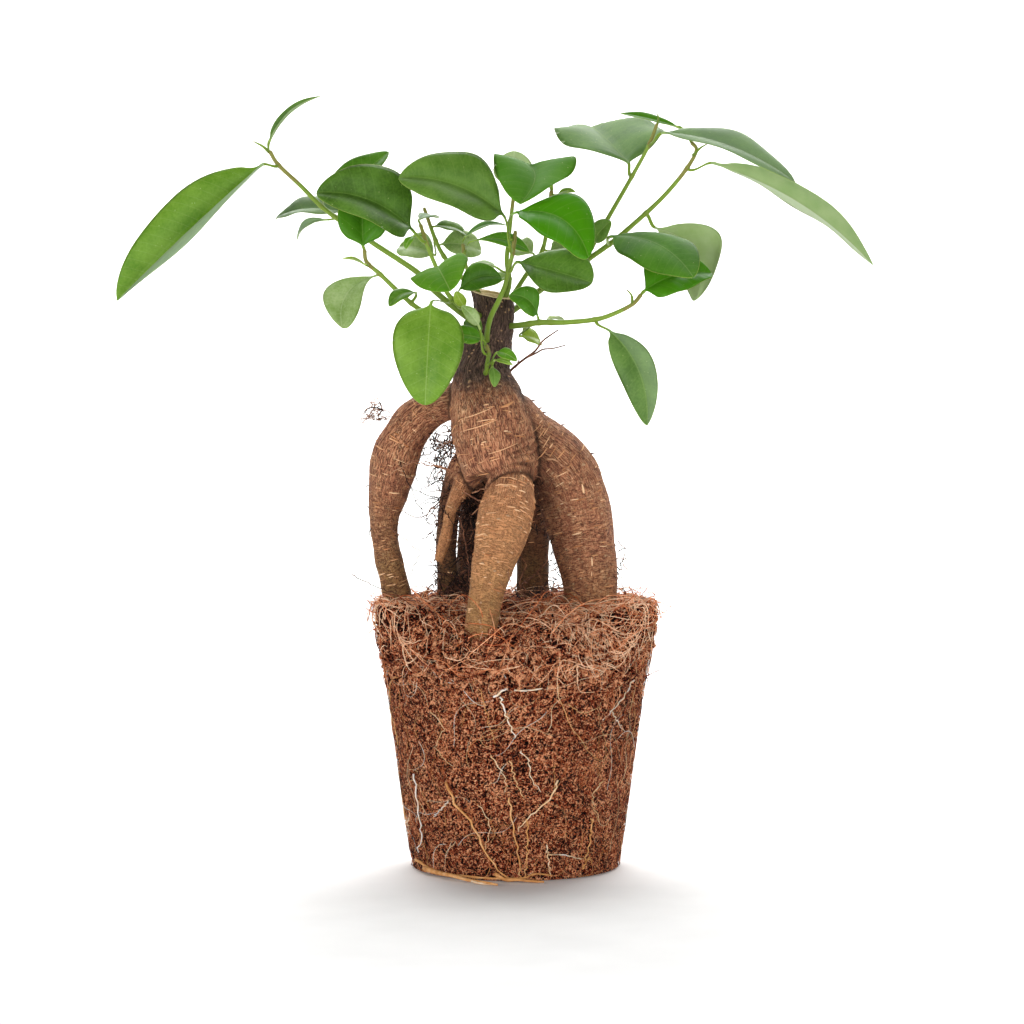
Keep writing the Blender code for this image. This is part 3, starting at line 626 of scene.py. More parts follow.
lines = np.array([long_dash(a, b) for _, _, a, b in LONG_DASHES])
spindle = np.sin(math.pi * np.linspace(0.12, 0.88, LONG_STEPS))
radii = np.array([0.5 * row[0] for row in LONG_DASHES])[:, None] * spindle
long_ones = tube_mesh("long_lenticels", lines, radii, 6, cork, [row[1] for row in LONG_DASHES])
print("Long lenticels:", len(lines))

# %% The short dashes, drawn on each root: how many
SHORT_DASHES = {"front": 190, "right": 170, "left": 130, "core": 60, "back_left": 20, "back_right": 26, "back": 20,
                "hanging": 12}
draw = np.random.default_rng(5)


def short_dashes(name, n):
    """Lines across one root, each at a drawn point of its skin."""
    able = np.flatnonzero((owner == root_names.index(name)) & (height < 186) & (height > 104) & (crotch < 0.1))
    picked = draw.choice(able, n)
    across = unit(np.cross(root_run[picked], normals[picked]) + draw.normal(0, 0.07, (n, 3)))
    length = draw.uniform(1.4, 7.0, (n, 1, 1)) * draw.uniform(0.4, 1, (n, 1, 1))
    share = np.linspace(-0.5, 0.5, SHORT_STEPS)[None, :, None]
    return points[picked][:, None] + across[:, None] * share * length


lines = onto_bark(np.vstack([short_dashes(name, n) for name, n in SHORT_DASHES.items()]), 0.1)
spindle = np.sin(math.pi * np.linspace(0.15, 0.85, SHORT_STEPS))
radii = draw.uniform(0.15, 0.31, (len(lines), 1)) * spindle
short_ones = tube_mesh("short_lenticels", lines, radii, 5, cork, draw.uniform(0, 1, len(lines)))
print("Short lenticels:", len(lines))

# %% [markdown]
# ## The root ball: shape
#
# Potting mix for these plants is coir: shredded coconut husk with some peat. In the pot it packs against the
# wall, so the side is flat and finely granular. The pot widened at its rim, and there the mix stands out as a
# band at the sides and the back. In front the band has crumbled away to a slope. The body is a turned outline
# on a fine grid: each spoke of it is a blend of a whole outline and a crumbled one.

# %% The whole and the crumbled outline, as radius and height in millimetres
BASE = 41.5
RIM_FOOT = 77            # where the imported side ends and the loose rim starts
SIDE = [(0, 0), (20, 0), (BASE - 2.4, 0.0), (BASE, 2.4), (43.6, 16), (45.9, 33), (48.2, 50), (50.4, 65),
        (51.8, 75)]
WHOLE = [(52.6, 80), (53.8, 86), (55.2, 93), (56.4, 99), (56.2, 103), (54.6, 105.9), (50, 106.4), (44, 104.4),
         (32, 104.9), (16, 105.3), (0, 105.3)]
CRUMBLED = [(53.4, 78), (54.8, 80.5), (54.2, 84.5), (52.2, 89), (49, 93.5), (46, 96.5), (42, 99), (37, 101),
            (28, 103), (16, 104.5), (0, 105)]


def crumbled_share(turn):
    """How far the rim has crumbled at an angle: 1 in front, 0 from the sides round the back."""
    front = np.clip((-np.sin(turn) - 0.35) / 0.5, 0, 1)
    return front * front * (3 - 2 * front)


def spokes(turn, spacing):
    """The outline at each angle, shaped (angles, points, 2)."""
    share = crumbled_share(turn)[:, None, None]
    rows = np.array(SIDE + WHOLE) * (1 - share) + np.array(SIDE + CRUMBLED) * share
    rows = np.concatenate([2 * rows[:, :1] - rows[:, 1:2], rows, 2 * rows[:, -1:] - rows[:, -2:-1]], 1)
    out = []
    for j in range(1, rows.shape[1] - 2):
        a, b, c, d = (rows[:, j + k] for k in (-1, 0, 1, 2))
        steps = max(2, math.ceil(np.linalg.norm(c[0] - b[0]) / spacing))
        out += [catmull_rom(a, b, c, d, t) for t in np.arange(steps) / steps]
    return np.stack([*out, rows[:, -2]], 1)


def wall_radius(z, turn):
    """Radius of the ball's side at a height and an angle."""
    whole, worn = np.array(SIDE[3:] + WHOLE[:4]), np.array(SIDE[3:] + CRUMBLED[:6])
    share = crumbled_share(turn)
    return np.interp(z, whole[:, 1], whole[:, 0]) * (1 - share) + np.interp(z, worn[:, 1], worn[:, 0]) * share


def top_height(r, turn):
    """Height of the soil at a distance from the middle and an angle."""
    whole, worn = np.array(WHOLE[:3:-1]), np.array(CRUMBLED[:1:-1])
    share = crumbled_share(turn)
    return np.interp(r, whole[:, 0], whole[:, 1]) * (1 - share) + np.interp(r, worn[:, 0], worn[:, 1]) * share


print("Rim radius at the back:", wall_radius(93, math.pi / 2), "and in front:", wall_radius(93, -math.pi / 2))

# %% The granular body
AROUND = 396             # spokes
ROW_SPACING = 0.95       # mm between points along a spoke


def nearest_grain(places, size):
    """Distance to the nearest grain centre in grains of a size in mm, about 0 to 1."""
    return np.array([noise.voronoi(Vector(p))[0][0] for p in (places / size).tolist()])


def granular_ball():
    """Points, faces and attributes of the root ball's surface."""
    turn = np.arange(AROUND) * math.tau / AROUND
    outline = spokes(turn, ROW_SPACING)[:, 1:-1]
    run = unit(np.gradient(outline, axis=1))
    places = np.stack([outline[..., 0] * np.cos(turn)[:, None], outline[..., 0] * np.sin(turn)[:, None],
                       outline[..., 1]], 2)
    push = np.stack([run[..., 1] * np.cos(turn)[:, None], run[..., 1] * np.sin(turn)[:, None], -run[..., 0]], 2)
    places, push = (x.transpose(1, 0, 2).reshape(-1, 3) for x in (places, push))
    low = places[:, 2]
    loose = window(low, RIM_FOOT, ABOVE_ALL, 8)
    lump = fractal_at(places, (0.1, 0.1, 0.1), 3)
    chunk = nearest_grain(places, 4.4)
    crumb = nearest_grain(places, 1.9)
    dust = fractal_at(places, (0.8, 0.8, 0.8), 4)
    relief = 0.35 * lump + loose * (3.4 * (0.4 - chunk) + 0.9 * lump) + (0.4 + 0.75 * loose) * (0.45 - crumb)
    relief += 0.45 * dust - 0.3
    relief = np.clip(relief, -3.0, 1.1) * np.clip(low / 3, 0, 1)
    places = places + push * relief[:, None]
    places[:, 2] = np.maximum(places[:, 2], 0)
    rows = outline.shape[1]
    index = np.arange(rows * AROUND).reshape(rows, AROUND)
    faces = ring_quads(index).reshape(-1, 4).tolist() + [index[0, ::-1].tolist(), index[-1].tolist()]
    # Painted shade: darker in the low pits of the relief and on the top, under the fibre tangle.
    tangle_shade = window(low, 96, ABOVE_ALL, 6)
    pit_shade = np.clip(0.4 - relief * 0.4 + 0.4 * tangle_shade, 0, 1)
    return places, faces, {"pit_shade": pit_shade, "tone": np.clip(0.5 + 0.5 * dust, 0, 1)}


ball_points, ball_faces, ball_values = granular_ball()
print("Ball:", len(ball_points), "points, lowest", round(ball_points[:, 2].min(), 3))

# %% [markdown]
# ## Damp coir
#
# Coir is husk pith: dull, soft and red-brown, and paler on crumbs that have dried. Its colour falls nearly to
# black in the pits and darkens under the fibre tangle on top, as painted shade. It has no gloss at all. Real
# grains are
# 0.5 to 2 mm. The voronoi cells are one grain each, with a
# colour of its own, and a finer noise breaks them into fibre ends. A few larger cells, about a millimetre and a
# half wide, are bits of rotted bark, which are almost black.


# %% The coir material
def damp_coir():
    coir, feed = new_material("shredded_coconut_coir_damp", Roughness=1.0, IOR=1.4, Specular_IOR_Level=0.1)
    place = add(coir, "TexCoord")["Object"]
    pit_shade = add(coir, "Attribute", attribute_name="pit_shade")["Fac"]
    own = add(coir, "Attribute", attribute_name="tone")["Fac"]
    bent = add(coir, "TexNoise", {"Vector": place, "Scale": 0.9 / MM, "Detail": 2.0})["Color"]
    bent = add(coir, "Mix", {"Factor": 0.0016, 4: place, 5: bent}, data_type="VECTOR")[1]
    grains = add(coir, "TexVoronoi", {"Vector": bent, "Scale": 1.9 / MM, "Randomness": 1.0})
    chips = add(coir, "SeparateColor", {"Color": grains["Color"]})[0]
    dust = add(coir, "TexNoise", {"Vector": place, "Scale": 2.4 / MM, "Detail": 3.0, "Roughness": 0.8})["Fac"]
    broad = add(coir, "TexNoise", {"Vector": place, "Scale": 0.05 / MM, "Detail": 3.0})["Fac"]
    mixed = add(coir, "Math", {0: chips, 1: 0.6, 2: dust}, operation="MULTIPLY_ADD")[0]
    # Painted shade: the colour falls towards black in the pits and under the top's fibre tangle.
    mixed = add(coir, "Math", {0: pit_shade, 1: -0.42, 2: mixed}, operation="MULTIPLY_ADD")[0]
    curl = add(coir, "TexNoise", {"Vector": place, "Scale": 0.32 / MM, "Detail": 1.0, "Distortion": 3.0})["Fac"]
    curl = add(coir, "Math", {0: curl, 1: 0.5}, operation="SUBTRACT")[0]
    curl = add(coir, "Math", {0: curl}, operation="ABSOLUTE")[0]
    strand = add(coir, "MapRange", {"Value": curl, "From Min": 0.022, "From Max": 0.0, "To Max": 0.26})[0]
    mixed = add(coir, "Math", {0: mixed, 1: strand}, operation="ADD")[0]
    mixed = add(coir, "Math", {0: broad, 1: 0.12, 2: mixed}, operation="MULTIPLY_ADD")[0]
    mixed = add(coir, "Math", {0: own, 1: 0.28, 2: mixed}, operation="MULTIPLY_ADD")[0]
    tone = add(coir, "ValToRGB", {"Fac": mixed}, stops=[
        (0.64, "#060202"), (0.72, "#2d0d08"), (0.82, "#842a15"), (0.92, "#cf5f36"), (1.04, "#ffb98a")])[0]
    bits = add(coir, "TexVoronoi", {"Vector": bent, "Scale": 0.55 / MM, "Randomness": 1.0})
    draw = add(coir, "SeparateColor", {"Color": bits["Color"]})[0]
    rotten = add(coir, "Math", {0: draw, 1: 0.8}, operation="GREATER_THAN")[0]
    inside = add(coir, "MapRange", {"Value": bits["Distance"], "From Min": 0.42, "From Max": 0.26,
                                    "To Max": 0.9})[0]
    black = add(coir, "Math", {0: inside, 1: rotten}, operation="MULTIPLY")[0]
    tone = add(coir, "Mix", {"Factor": black, 6: tone, 7: linear("#110c0e")}, data_type="RGBA")[2]
    feed("Base Color", tone)
    rise = add(coir, "Math", {0: grains["Distance"], 1: -0.9, 2: dust}, operation="MULTIPLY_ADD")[0]
    feed("Normal", add(coir, "Bump", {"Height": rise, "Strength": 1.0, "Distance": 1.0 * MM})[0])
    return coir


COIR = damp_coir()
ball = mesh_piece("coir_root_ball", ball_points, ball_faces, [COIR], ball_values)
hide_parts("root_ball")
print("Coir ball:", len(ball.data.polygons), "faces")

# %% [markdown]
# ## Loose crumbs
#
# Chips of husk lie on the surface in every direction and throw small shadows, which no bump map can do. Each is
# a twenty-sided blob pulled out of shape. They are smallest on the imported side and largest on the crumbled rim.

# %% Scattered husk crumbs
dice = np.random.default_rng(11)
FRONT_LIMIT, BACK_LIMIT = -58.3, 59.5   # mm, how far loose crumbs and fibres may reach in y


def husk_shape():
    """The twelve corners and twenty faces of an icosahedron."""
    bm = bmesh.new()
    bmesh.ops.create_icosphere(bm, subdivisions=1, radius=1.0)
    corners = np.array([v.co[:] for v in bm.verts])
    faces = np.array([[v.index for v in f.verts] for f in bm.faces])
    bm.free()
    return corners, faces


def scatter(places, sizes, name, material):
    """One mesh of crumbs at the given places, each turned and squashed at random."""
    corners, faces = husk_shape()
    n = len(places)
    stretch = dice.uniform(0.35, 1.3, (n, 1, 3)) * sizes[:, None, None]
    wobble = dice.uniform(0.7, 1.25, (n, 12, 1))
    axes = np.linalg.qr(dice.normal(size=(n, 3, 3)))[0]
    axes *= np.sign(np.linalg.det(axes))[:, None, None]
    shapes = np.einsum("nij,nkj->nki", axes, corners[None] * wobble * stretch)
    points = (places[:, None] + shapes).reshape(-1, 3)
    points[:, 2] = np.maximum(points[:, 2], 0.05)
    every = (faces[None] + 12 * np.arange(n)[:, None, None]).reshape(-1, 3)
    tone = np.repeat(dice.uniform(-0.4, 1.2, n), 12)
    # Every crumb carries the same small share of painted shade.
    return mesh_piece(name, points, every.tolist(), [material], {"tone": tone, "pit_shade": 0.3 * np.ones(12 * n)},
                      smooth=False)


def side_places(n, low, high, lift):
    turn, z = dice.uniform(0, math.tau, n), dice.uniform(low, high, n)
    r = wall_radius(z, turn) + lift
    return np.column_stack([r * np.cos(turn), r * np.sin(turn), z])


def top_places(n, lift):
    turn, r = dice.uniform(0, math.tau, n), np.sqrt(dice.uniform(14**2, 54**2, n))
    return np.column_stack([r * np.cos(turn), r * np.sin(turn), top_height(r, turn) + lift])


HUSK_CHIPS = [(-36, -30, 104), (-33, -33, 103), (-29, -27, 105), (-25, -34, 102), (-38, -25, 105), (-9, -36, 102),
              (-4, -40, 100), (-21, -44, 97), (-19, -47, 94.5), (-15.5, -48.5, 93.5), (-11.5, -49, 94),
              (-8, -47.5, 95.5), (-6.5, -44, 98), (14, -37, 102), (19, -30, 105), (24, -36, 102), (9, -43, 98),
              (-16, -42, 99), (30, -33, 103)]
ON_SIDE, ON_RIM, ON_TOP, ON_SLOPE = 4600, 1500, 1900, 300     # how many crumbs lie where
packed = side_places(ON_SIDE, 1.5, 79, 0.0)
rim = side_places(ON_RIM, 76, 98, 0.2)
top = top_places(ON_TOP, 0.1)
slope_turn, slope_z = dice.normal(-1.57, 0.5, ON_SLOPE), dice.uniform(RIM_FOOT, 92, ON_SLOPE)
slope_r = wall_radius(slope_z, slope_turn) + 0.5
slope = np.column_stack([slope_r * np.cos(slope_turn), slope_r * np.sin(slope_turn), slope_z])
places = np.vstack([packed, rim, top, slope, HUSK_CHIPS])
rim_size = dice.uniform(0.5, 2.1, ON_RIM) * (0.5 + 0.5 * crumbled_share(np.arctan2(rim[:, 1], rim[:, 0])))
sizes = np.concatenate([dice.uniform(0.22, 0.62, ON_SIDE), rim_size, dice.uniform(0.5, 1.8, ON_TOP),
                        dice.uniform(0.9, 2.2, ON_SLOPE), dice.uniform(1.9, 2.9, len(HUSK_CHIPS))])
crumbs = scatter(places, sizes, "coir_crumbs", COIR)
print("Crumbs:", len(places))

# %% [markdown]
# ## Coir fibres and living roots
#
# Two kinds of thread run through the mix. Coir fibre is stiff husk fibre, 0.1 to 0.4 mm thick, red-brown to
# straw. The plant's own feeder roots are paler and wander. A fibre here is a short random walk over the ball's
# surface, and the threads of one kind share a mesh and get a tone each. The straw lies thickest on the right of
# the crumbled slope and at the left corner, where the pot's rim combed it up.


# %% The thread materials
def thread(name, stops, roughness):
    """Fibre or fine root: a colour ramp over each thread's own tone, broken up along it."""
    material, feed = new_material(name, Roughness=roughness, IOR=1.45, Specular_IOR_Level=0.25)
    tone = add(material, "Attribute", attribute_name="tone")["Fac"]
    place = add(material, "TexCoord")["Object"]
    mottle = add(material, "TexNoise", {"Vector": place, "Scale": 0.4 / MM, "Detail": 3.0})["Fac"]
    mixed = add(material, "Math", {0: mottle, 1: 0.9, 2: tone}, operation="MULTIPLY_ADD")[0]
    mixed = add(material, "Math", {0: mixed, 1: 0.45}, operation="SUBTRACT")[0]
    feed("Base Color", add(material, "ValToRGB", {"Fac": mixed}, stops=stops)[0])
    feed("Normal", add(material, "Bump", {"Height": mottle, "Strength": 0.5, "Distance": 0.1 * MM})[0])
    return material


HUSK_FIBRE = thread("coir_husk_fibre_dry", [
    (0.0, "#2e110a"), (0.3, "#863b20"), (0.55, "#c46c3e"), (0.8, "#eca173"), (1.0, "#fdd3ae")], 0.7)
FEEDER_ROOT = thread("living_feeder_root", [
    (0.0, "#8a4a22"), (0.35, "#c98f55"), (0.6, "#d9b083"), (0.85, "#dcc4a6"), (1.0, "#dcd3cb")], 0.6)
HAIR_ROOT = thread("dried_hair_root", [
    (0.0, "#150b08"), (0.35, "#38211a"), (0.65, "#6b4534"), (0.85, "#9a6b50"), (1.0, "#b78a68")], 0.75)
print("Thread materials ready")


# %% Random walks over the side and over the top
MEAN_RADIUS = 50         # mm, turns a length across the side into an angle
LIP_RADIUS = 55.5        # mm, where threads on top start to spill over


def side_fibres(n, low, high, reach, lift, k=8):
    """Short arcs on the ball's side, as lines of points."""
    t = np.linspace(0, 1, k)[None]
    turn, z = dice.uniform(0, math.tau, (n, 1)), dice.uniform(low, high, (n, 1))
    head, bend = dice.uniform(0, math.tau, (n, 1)), dice.normal(0, 1.1, (n, 1))
    length = dice.uniform(reach[0], reach[1], (n, 1))
    heading = head + bend * t + 0.5 * np.sin(6 * t + head * 5)
    step = length / (k - 1)
    across = np.cumsum(np.cos(heading), 1) * step
    z = np.clip(z + np.cumsum(np.sin(heading), 1) * step, 0.8, 103)
    away = lift * (0.3 + np.abs(np.sin(math.pi * t * dice.uniform(0.5, 2, (n, 1)))))
    turn = turn + across / MEAN_RADIUS
    r = wall_radius(z, turn) + away
    return np.stack([r * np.cos(turn), np.clip(r * np.sin(turn), FRONT_LIMIT, BACK_LIMIT), z], 2)


def mat_fibres(turn, near, far, reach, lift, k=11):
    """Tangled fibres over the top, from each start angle, which spill over the rim and hug the slope."""
    n = len(turn)
    t, turn = np.linspace(0, 1, k)[None], turn[:, None]
    r0 = np.sqrt(dice.uniform(near**2, far**2, (n, 1)))
    head, bend = dice.uniform(0, math.tau, (n, 1)), dice.normal(0, 1.2, (n, 1))
    heading = head + bend * t + 0.5 * np.sin(5 * t + turn * 3)
    step = dice.uniform(reach[0], reach[1], (n, 1)) / (k - 1)
    x = r0 * np.cos(turn) + np.cumsum(np.cos(heading), 1) * step
    y = r0 * np.sin(turn) + np.cumsum(np.sin(heading), 1) * step
    r, angle = np.hypot(x, y), np.arctan2(y, x)
    over = np.clip(r - LIP_RADIUS, 0, 11)
    loose = dice.uniform(1, 4.5, (n, 1))
    held = np.minimum(r, LIP_RADIUS + loose * (1 - np.exp(-over / loose)))
    arch = lift * dice.uniform(0.05, 1, (n, 1)) ** 2 * np.sin(math.pi * t * dice.uniform(0.6, 1.4, (n, 1)))
    z = top_height(np.minimum(held, 54.5), angle) + 0.3 + np.abs(arch) - dice.uniform(0.1, 1.1, (n, 1)) * over
    y = np.clip(y * held / r, FRONT_LIMIT, BACK_LIMIT)
    return np.stack([x * held / r, y, np.clip(z, 66, 118)], 2)


def taper(n, k, thick, thin):
    """Radii that fall from thick to thin, different for each of n threads."""
    start = dice.uniform(thin, thick, (n, 1))
    return start * np.linspace(1, 0.55, k)[None]


def drawn_threads(name, lines, thick, thin, sides, material, tones):
    """One piece of threads, each with a radius and a tone drawn between two limits."""
    n, k, _ = lines.shape
    return tube_mesh(name, lines, taper(n, k, thick, thin), sides, material, dice.uniform(*tones, n))


print("Fibre walks ready")

# %% Fibres on the side, the rim and the top
husk_side = side_fibres(2600, 2, 80, (2, 12), 0.4)
fibres = drawn_threads("coir_fibres_side", husk_side, 0.19, 0.07, 3, HUSK_FIBRE, (-0.3, 0.8))
husk_rim = side_fibres(420, 76, 101, (5, 20), 1.0)
fibres = drawn_threads("coir_fibres_rim", husk_rim, 0.22, 0.08, 3, HUSK_FIBRE, (0.1, 1.1))
husk_top = mat_fibres(dice.uniform(0, math.tau, 700), 18, 57, (10, 34), 5.5)
fibres = drawn_threads("coir_fibres_top", husk_top, 0.27, 0.09, 3, HUSK_FIBRE, (0.1, 1.15))
straw_turn = np.concatenate([dice.normal(-0.72, 0.34, 330), dice.normal(-2.75, 0.24, 110)])
straw = mat_fibres(straw_turn, 34, 55, (10, 27), 3.5)
fibres = drawn_threads("coir_straw_mat", straw, 0.26, 0.09, 3, HUSK_FIBRE, (0.65, 1.35))
print("Fibres:", len(husk_side) + len(husk_rim) + len(husk_top) + len(straw))

# %% [markdown]
# ## Roots on the face of the ball
#
# The clearest roots on the front are listed as rows of (x, z) on the ball's face, with a thickness. Each is laid
# on the wall, half sunk. The sides and back get wandering roots of the same kinds.

# %% Roots listed on the front: thickness, tone, points (x, y, z)
FACE_ROOTS = [
    (0.75, 0.90, [(-8, 73), (-4, 76), (3, 75.5), (12, 76.5)]),
    (0.60, 0.95, [(-6, 73), (-3, 64), (0, 57)]),
    (0.36, 0.35, [(-25, 91), (-18, 82), (-13, 73.5), (-11, 65.5), (-8, 54.5)]),
    (0.42, 0.70, [(-9.5, 50), (-4, 41), (-4, 35.5)]),
    (0.45, 0.55, [(-2, 48), (0, 40), (3, 33.5)]),
    (0.42, 0.80, [(1.5, 52), (5, 48), (6, 41), (10, 35.5)]),
    (0.85, 0.35, [(-27, 38.5), (-23.5, 30), (-17, 23), (-13, 14), (-7.5, 5.5), (-2.5, 1.0)]),
    (0.62, 0.40, [(-2.5, 33.5), (-1.5, 25), (1, 11), (2, 1.2)]),
    (0.55, 0.35, [(4.5, 25), (4.5, 11), (3.5, 1.2)]),
    (0.60, 0.65, [(16.5, 40), (13.5, 33), (5, 25.5), (0.5, 20)]),
    (0.48, 0.75, [(12, 14.5), (13.5, 2)]),
    (0.45, 0.85, [(13, 10.5), (19, 10), (26, 7.5)]),
    (0.55, 0.35, [(30, 23.5), (29, 14), (27, 6.5)]),
    (0.60, 0.98, [(-40, 40), (-38, 23), (-37, 14.5), (-39, 8)]),
    (0.45, 0.92, [(-26, 31), (-32, 24)]),
    (0.50, 0.90, [(46, 77), (42.5, 71), (34, 62.5)]),
    (0.38, 0.85, [(37.5, 65.5), (42.5, 57)]),
    (0.30, 0.45, [(15.5, 86.5), (16.5, 74.5), (21, 62), (29.5, 49.5), (34, 46), (38, 51)]),
    (0.30, 0.60, [(-33, 66), (-28, 60), (-31, 52), (-25, 45)]),
    (0.28, 0.50, [(20, 70), (26, 66), (33, 68)]),
    (0.32, 0.70, [(-14, 30), (-10, 22), (-12, 12)]),
    (0.36, 0.60, [(34, 38), (30, 32), (33, 22)]),
    (1.00, 0.30, [(-39, 4.5), (-33, 2.5), (-26, 1.6), (-18, 1.5)]),
    (0.80, 0.30, [(-22, 1.6), (-12, 1.3), (-3, 1.3), (4, 1.6)]),
    (0.70, 0.25, [(3, 1.4), (8, 3), (14, 2.2)]),
    (0.60, 0.30, [(26, 3.5), (29, 8), (30, 5)]),
]


FACE_STEPS = 16          # points along a root
FACE_SHARE = 0.62        # radius as a share of the listed thickness


def on_face(rows, radius):
    """Places (x, z) on the front of the ball, as a smooth line half out of it."""
    rows = spline([(x, z, 0) for x, z in rows], 1.0)
    rows = rows[np.linspace(0, len(rows) - 1, FACE_STEPS).round().astype(int)]
    x, z = rows[:, 0], rows[:, 1]
    step = np.arange(FACE_STEPS)
    x = x + 0.4 * np.sin(step * 1.9 + x[0]) + 0.3 * np.sin(step * 3.3 + z[0])
    r = wall_radius(z, np.full(FACE_STEPS, -math.pi / 2)) + 0.5 + 0.5 * radius
    return np.column_stack([x, -np.sqrt(np.maximum(r**2 - x**2, 0)), np.maximum(z, 1.0)])


def wandering(n):
    """Roots that wander down the sides and back of the ball."""
    lines = side_fibres(4 * n, 8, 96, (14, 46), 0.45, 14)
    return lines[lines[:, 7, 1] > -12][:n]


front = np.array([on_face(rows, FACE_SHARE * thick) for thick, _, rows in FACE_ROOTS])
knotty = np.linspace(1, 0.6, FACE_STEPS) * (1 + 0.18 * np.sin(np.arange(FACE_STEPS) * 2.3))
thick = np.array([FACE_SHARE * row[0] for row in FACE_ROOTS])[:, None] * knotty[None]
roots = tube_mesh("face_roots", front, thick, 7, FEEDER_ROOT, [row[1] for row in FACE_ROOTS])
back = wandering(46)
roots = drawn_threads("side_roots", back, 0.4, 0.16, 6, FEEDER_ROOT, (0.2, 1))
fine = side_fibres(170, 3, 84, (10, 34), 0.5, 14)
roots = drawn_threads("thin_feeder_roots", fine, 0.15, 0.08, 4, FEEDER_ROOT, (0, 1))
print("Feeder roots:", len(front), "placed,", len(back) + len(fine), "wandering")

# %% Roots and fibres that leave the ball: radius, tone, points (x, y, z)
FOOT_ROOTS = [
    (1.05, 0.35, [(-36, -24, 2.4), (-30, -32, 1.8), (-25, -39, 2.0), (-18, -45, 1.1), (-12, -51, 1.3),
                  (-7, -54.5, 0.9)]),
    (0.85, 0.30, [(-8, -41, 3), (-4, -43, 1.0), (1, -45, 1.3), (6, -46, 0.9), (11, -47, 0.8)]),
    (0.60, 0.80, [(-17, -46, 1.0), (-14, -50, 0.8), (-9, -52, 0.6)]),
]
FREE_ROOTS = [
    (0.26, 0.60, [(-24, -44, 91), (-15, -50.5, 97), (-6, -52, 96), (2, -51, 90)]),
    (0.22, 0.75, [(-19, -49, 88), (-11, -53, 95), (-3, -52, 101), (6, -47, 99)]),
    (0.22, 0.50, [(-18, -46, 101), (-9, -52, 100), (-3, -52, 93), (-1, -53, 86)]),
    (0.20, 0.70, [(-12, -52, 88), (-8, -53, 97), (-10, -50, 107)]),
    (0.30, 0.35, [(-14, -50, 94), (-7, -53, 93), (0, -51, 97), (8, -45, 101)]),
    (0.22, 0.55, [(-50, -16, 104), (-56, -17, 103), (-62, -16, 106), (-68, -15, 105)]),
    (0.20, 0.65, [(-54, -8, 103), (-58, -9, 106), (-61, -9, 112)]),
    (0.22, 0.50, [(-52, -18, 98), (-58, -19, 95), (-60, -18, 89), (-58, -17, 84)]),
    (0.20, 0.60, [(-48, -24, 103), (-54, -24, 108), (-57, -22, 114)]),
    (0.22, 0.60, [(50, -18, 105), (57, -18, 107), (62, -16, 105), (65, -15, 108)]),
    (0.18, 0.70, [(48, -24, 103), (56, -24, 102), (62, -22, 98)]),
    (0.20, 0.45, [(38, -28, 104), (46, -28, 110), (52, -26, 118)]),
    (0.18, 0.65, [(54, -12, 104), (60, -12, 102), (64, -11, 97), (63, -10, 92)]),
    (0.22, 0.40, [(46, -8, 105), (50, -9, 109), (56, -8, 117)]),
    (0.17, 0.45, [(56, -6, 101), (60, -7, 103), (66, -8, 109)]),
    (0.16, 0.40, [(57, -6, 97), (61, -6, 92), (67, -8, 86)]),
    (0.18, 0.30, [(-56, -4, 107), (-60, -5, 111), (-65, -6, 116)]),
    (0.30, 0.62, [(-41, -22, 112.5), (-31, -31, 104), (-24, -42, 98.5), (-17.5, -50.5, 90.5)]),
    (0.17, 0.35, [(52, -20, 103), (57, -22, 108), (63, -24, 111)]),
    (0.15, 0.40, [(-54, -14, 104), (-60, -14, 108), (-68, -12, 110)]),
    (0.24, 0.60, [(-47, -18, 108), (-43, -27, 101), (-40, -35, 94), (-37, -41, 86)]),
    (0.20, 0.55, [(-12, -44, 100), (-14, -47, 107), (-20, -47, 112), (-26, -45, 108)]),
    (0.22, 0.50, [(2, -44, 100), (8, -45, 108), (12, -44, 113), (16, -40, 111)]),
    (0.20, 0.70, [(14, -46, 97), (20, -45, 104), (28, -42, 109), (37, -36, 110)]),
    (0.22, 0.60, [(46, -28, 98), (52, -24, 104), (58, -20, 111), (61, -18, 112)]),
    (0.20, 0.55, [(44, -33, 95), (53, -28, 99), (62, -22, 106)]),
    (0.26, 0.15, [(51, -22, 78), (55, -23, 80), (59, -24, 82)]),
]


FREE_STEPS = 14          # points along a free root or fibre


def fixed_count(rows, k):
    """A smooth line through the rows, as k points."""
    rows = spline(rows, 0.5)
    return rows[np.linspace(0, len(rows) - 1, k).round().astype(int)]


def free_threads(name, rows, material):
    """One piece of threads from listed points, each thinner towards its end."""
    lines = np.array([fixed_count(points, FREE_STEPS) for _, _, points in rows])
    thick = np.array([row[0] for row in rows])[:, None] * np.linspace(1, 0.45, FREE_STEPS)[None]
    piece = tube_mesh(name, lines, thick, 6, material, [row[1] for row in rows])


free_threads("free_fibres", FREE_ROOTS, HUSK_FIBRE)
free_threads("roots_at_the_foot", FOOT_ROOTS, FEEDER_ROOT)
print("Free fibres:", len(FREE_ROOTS), "and roots at the foot:", len(FOOT_ROOTS))
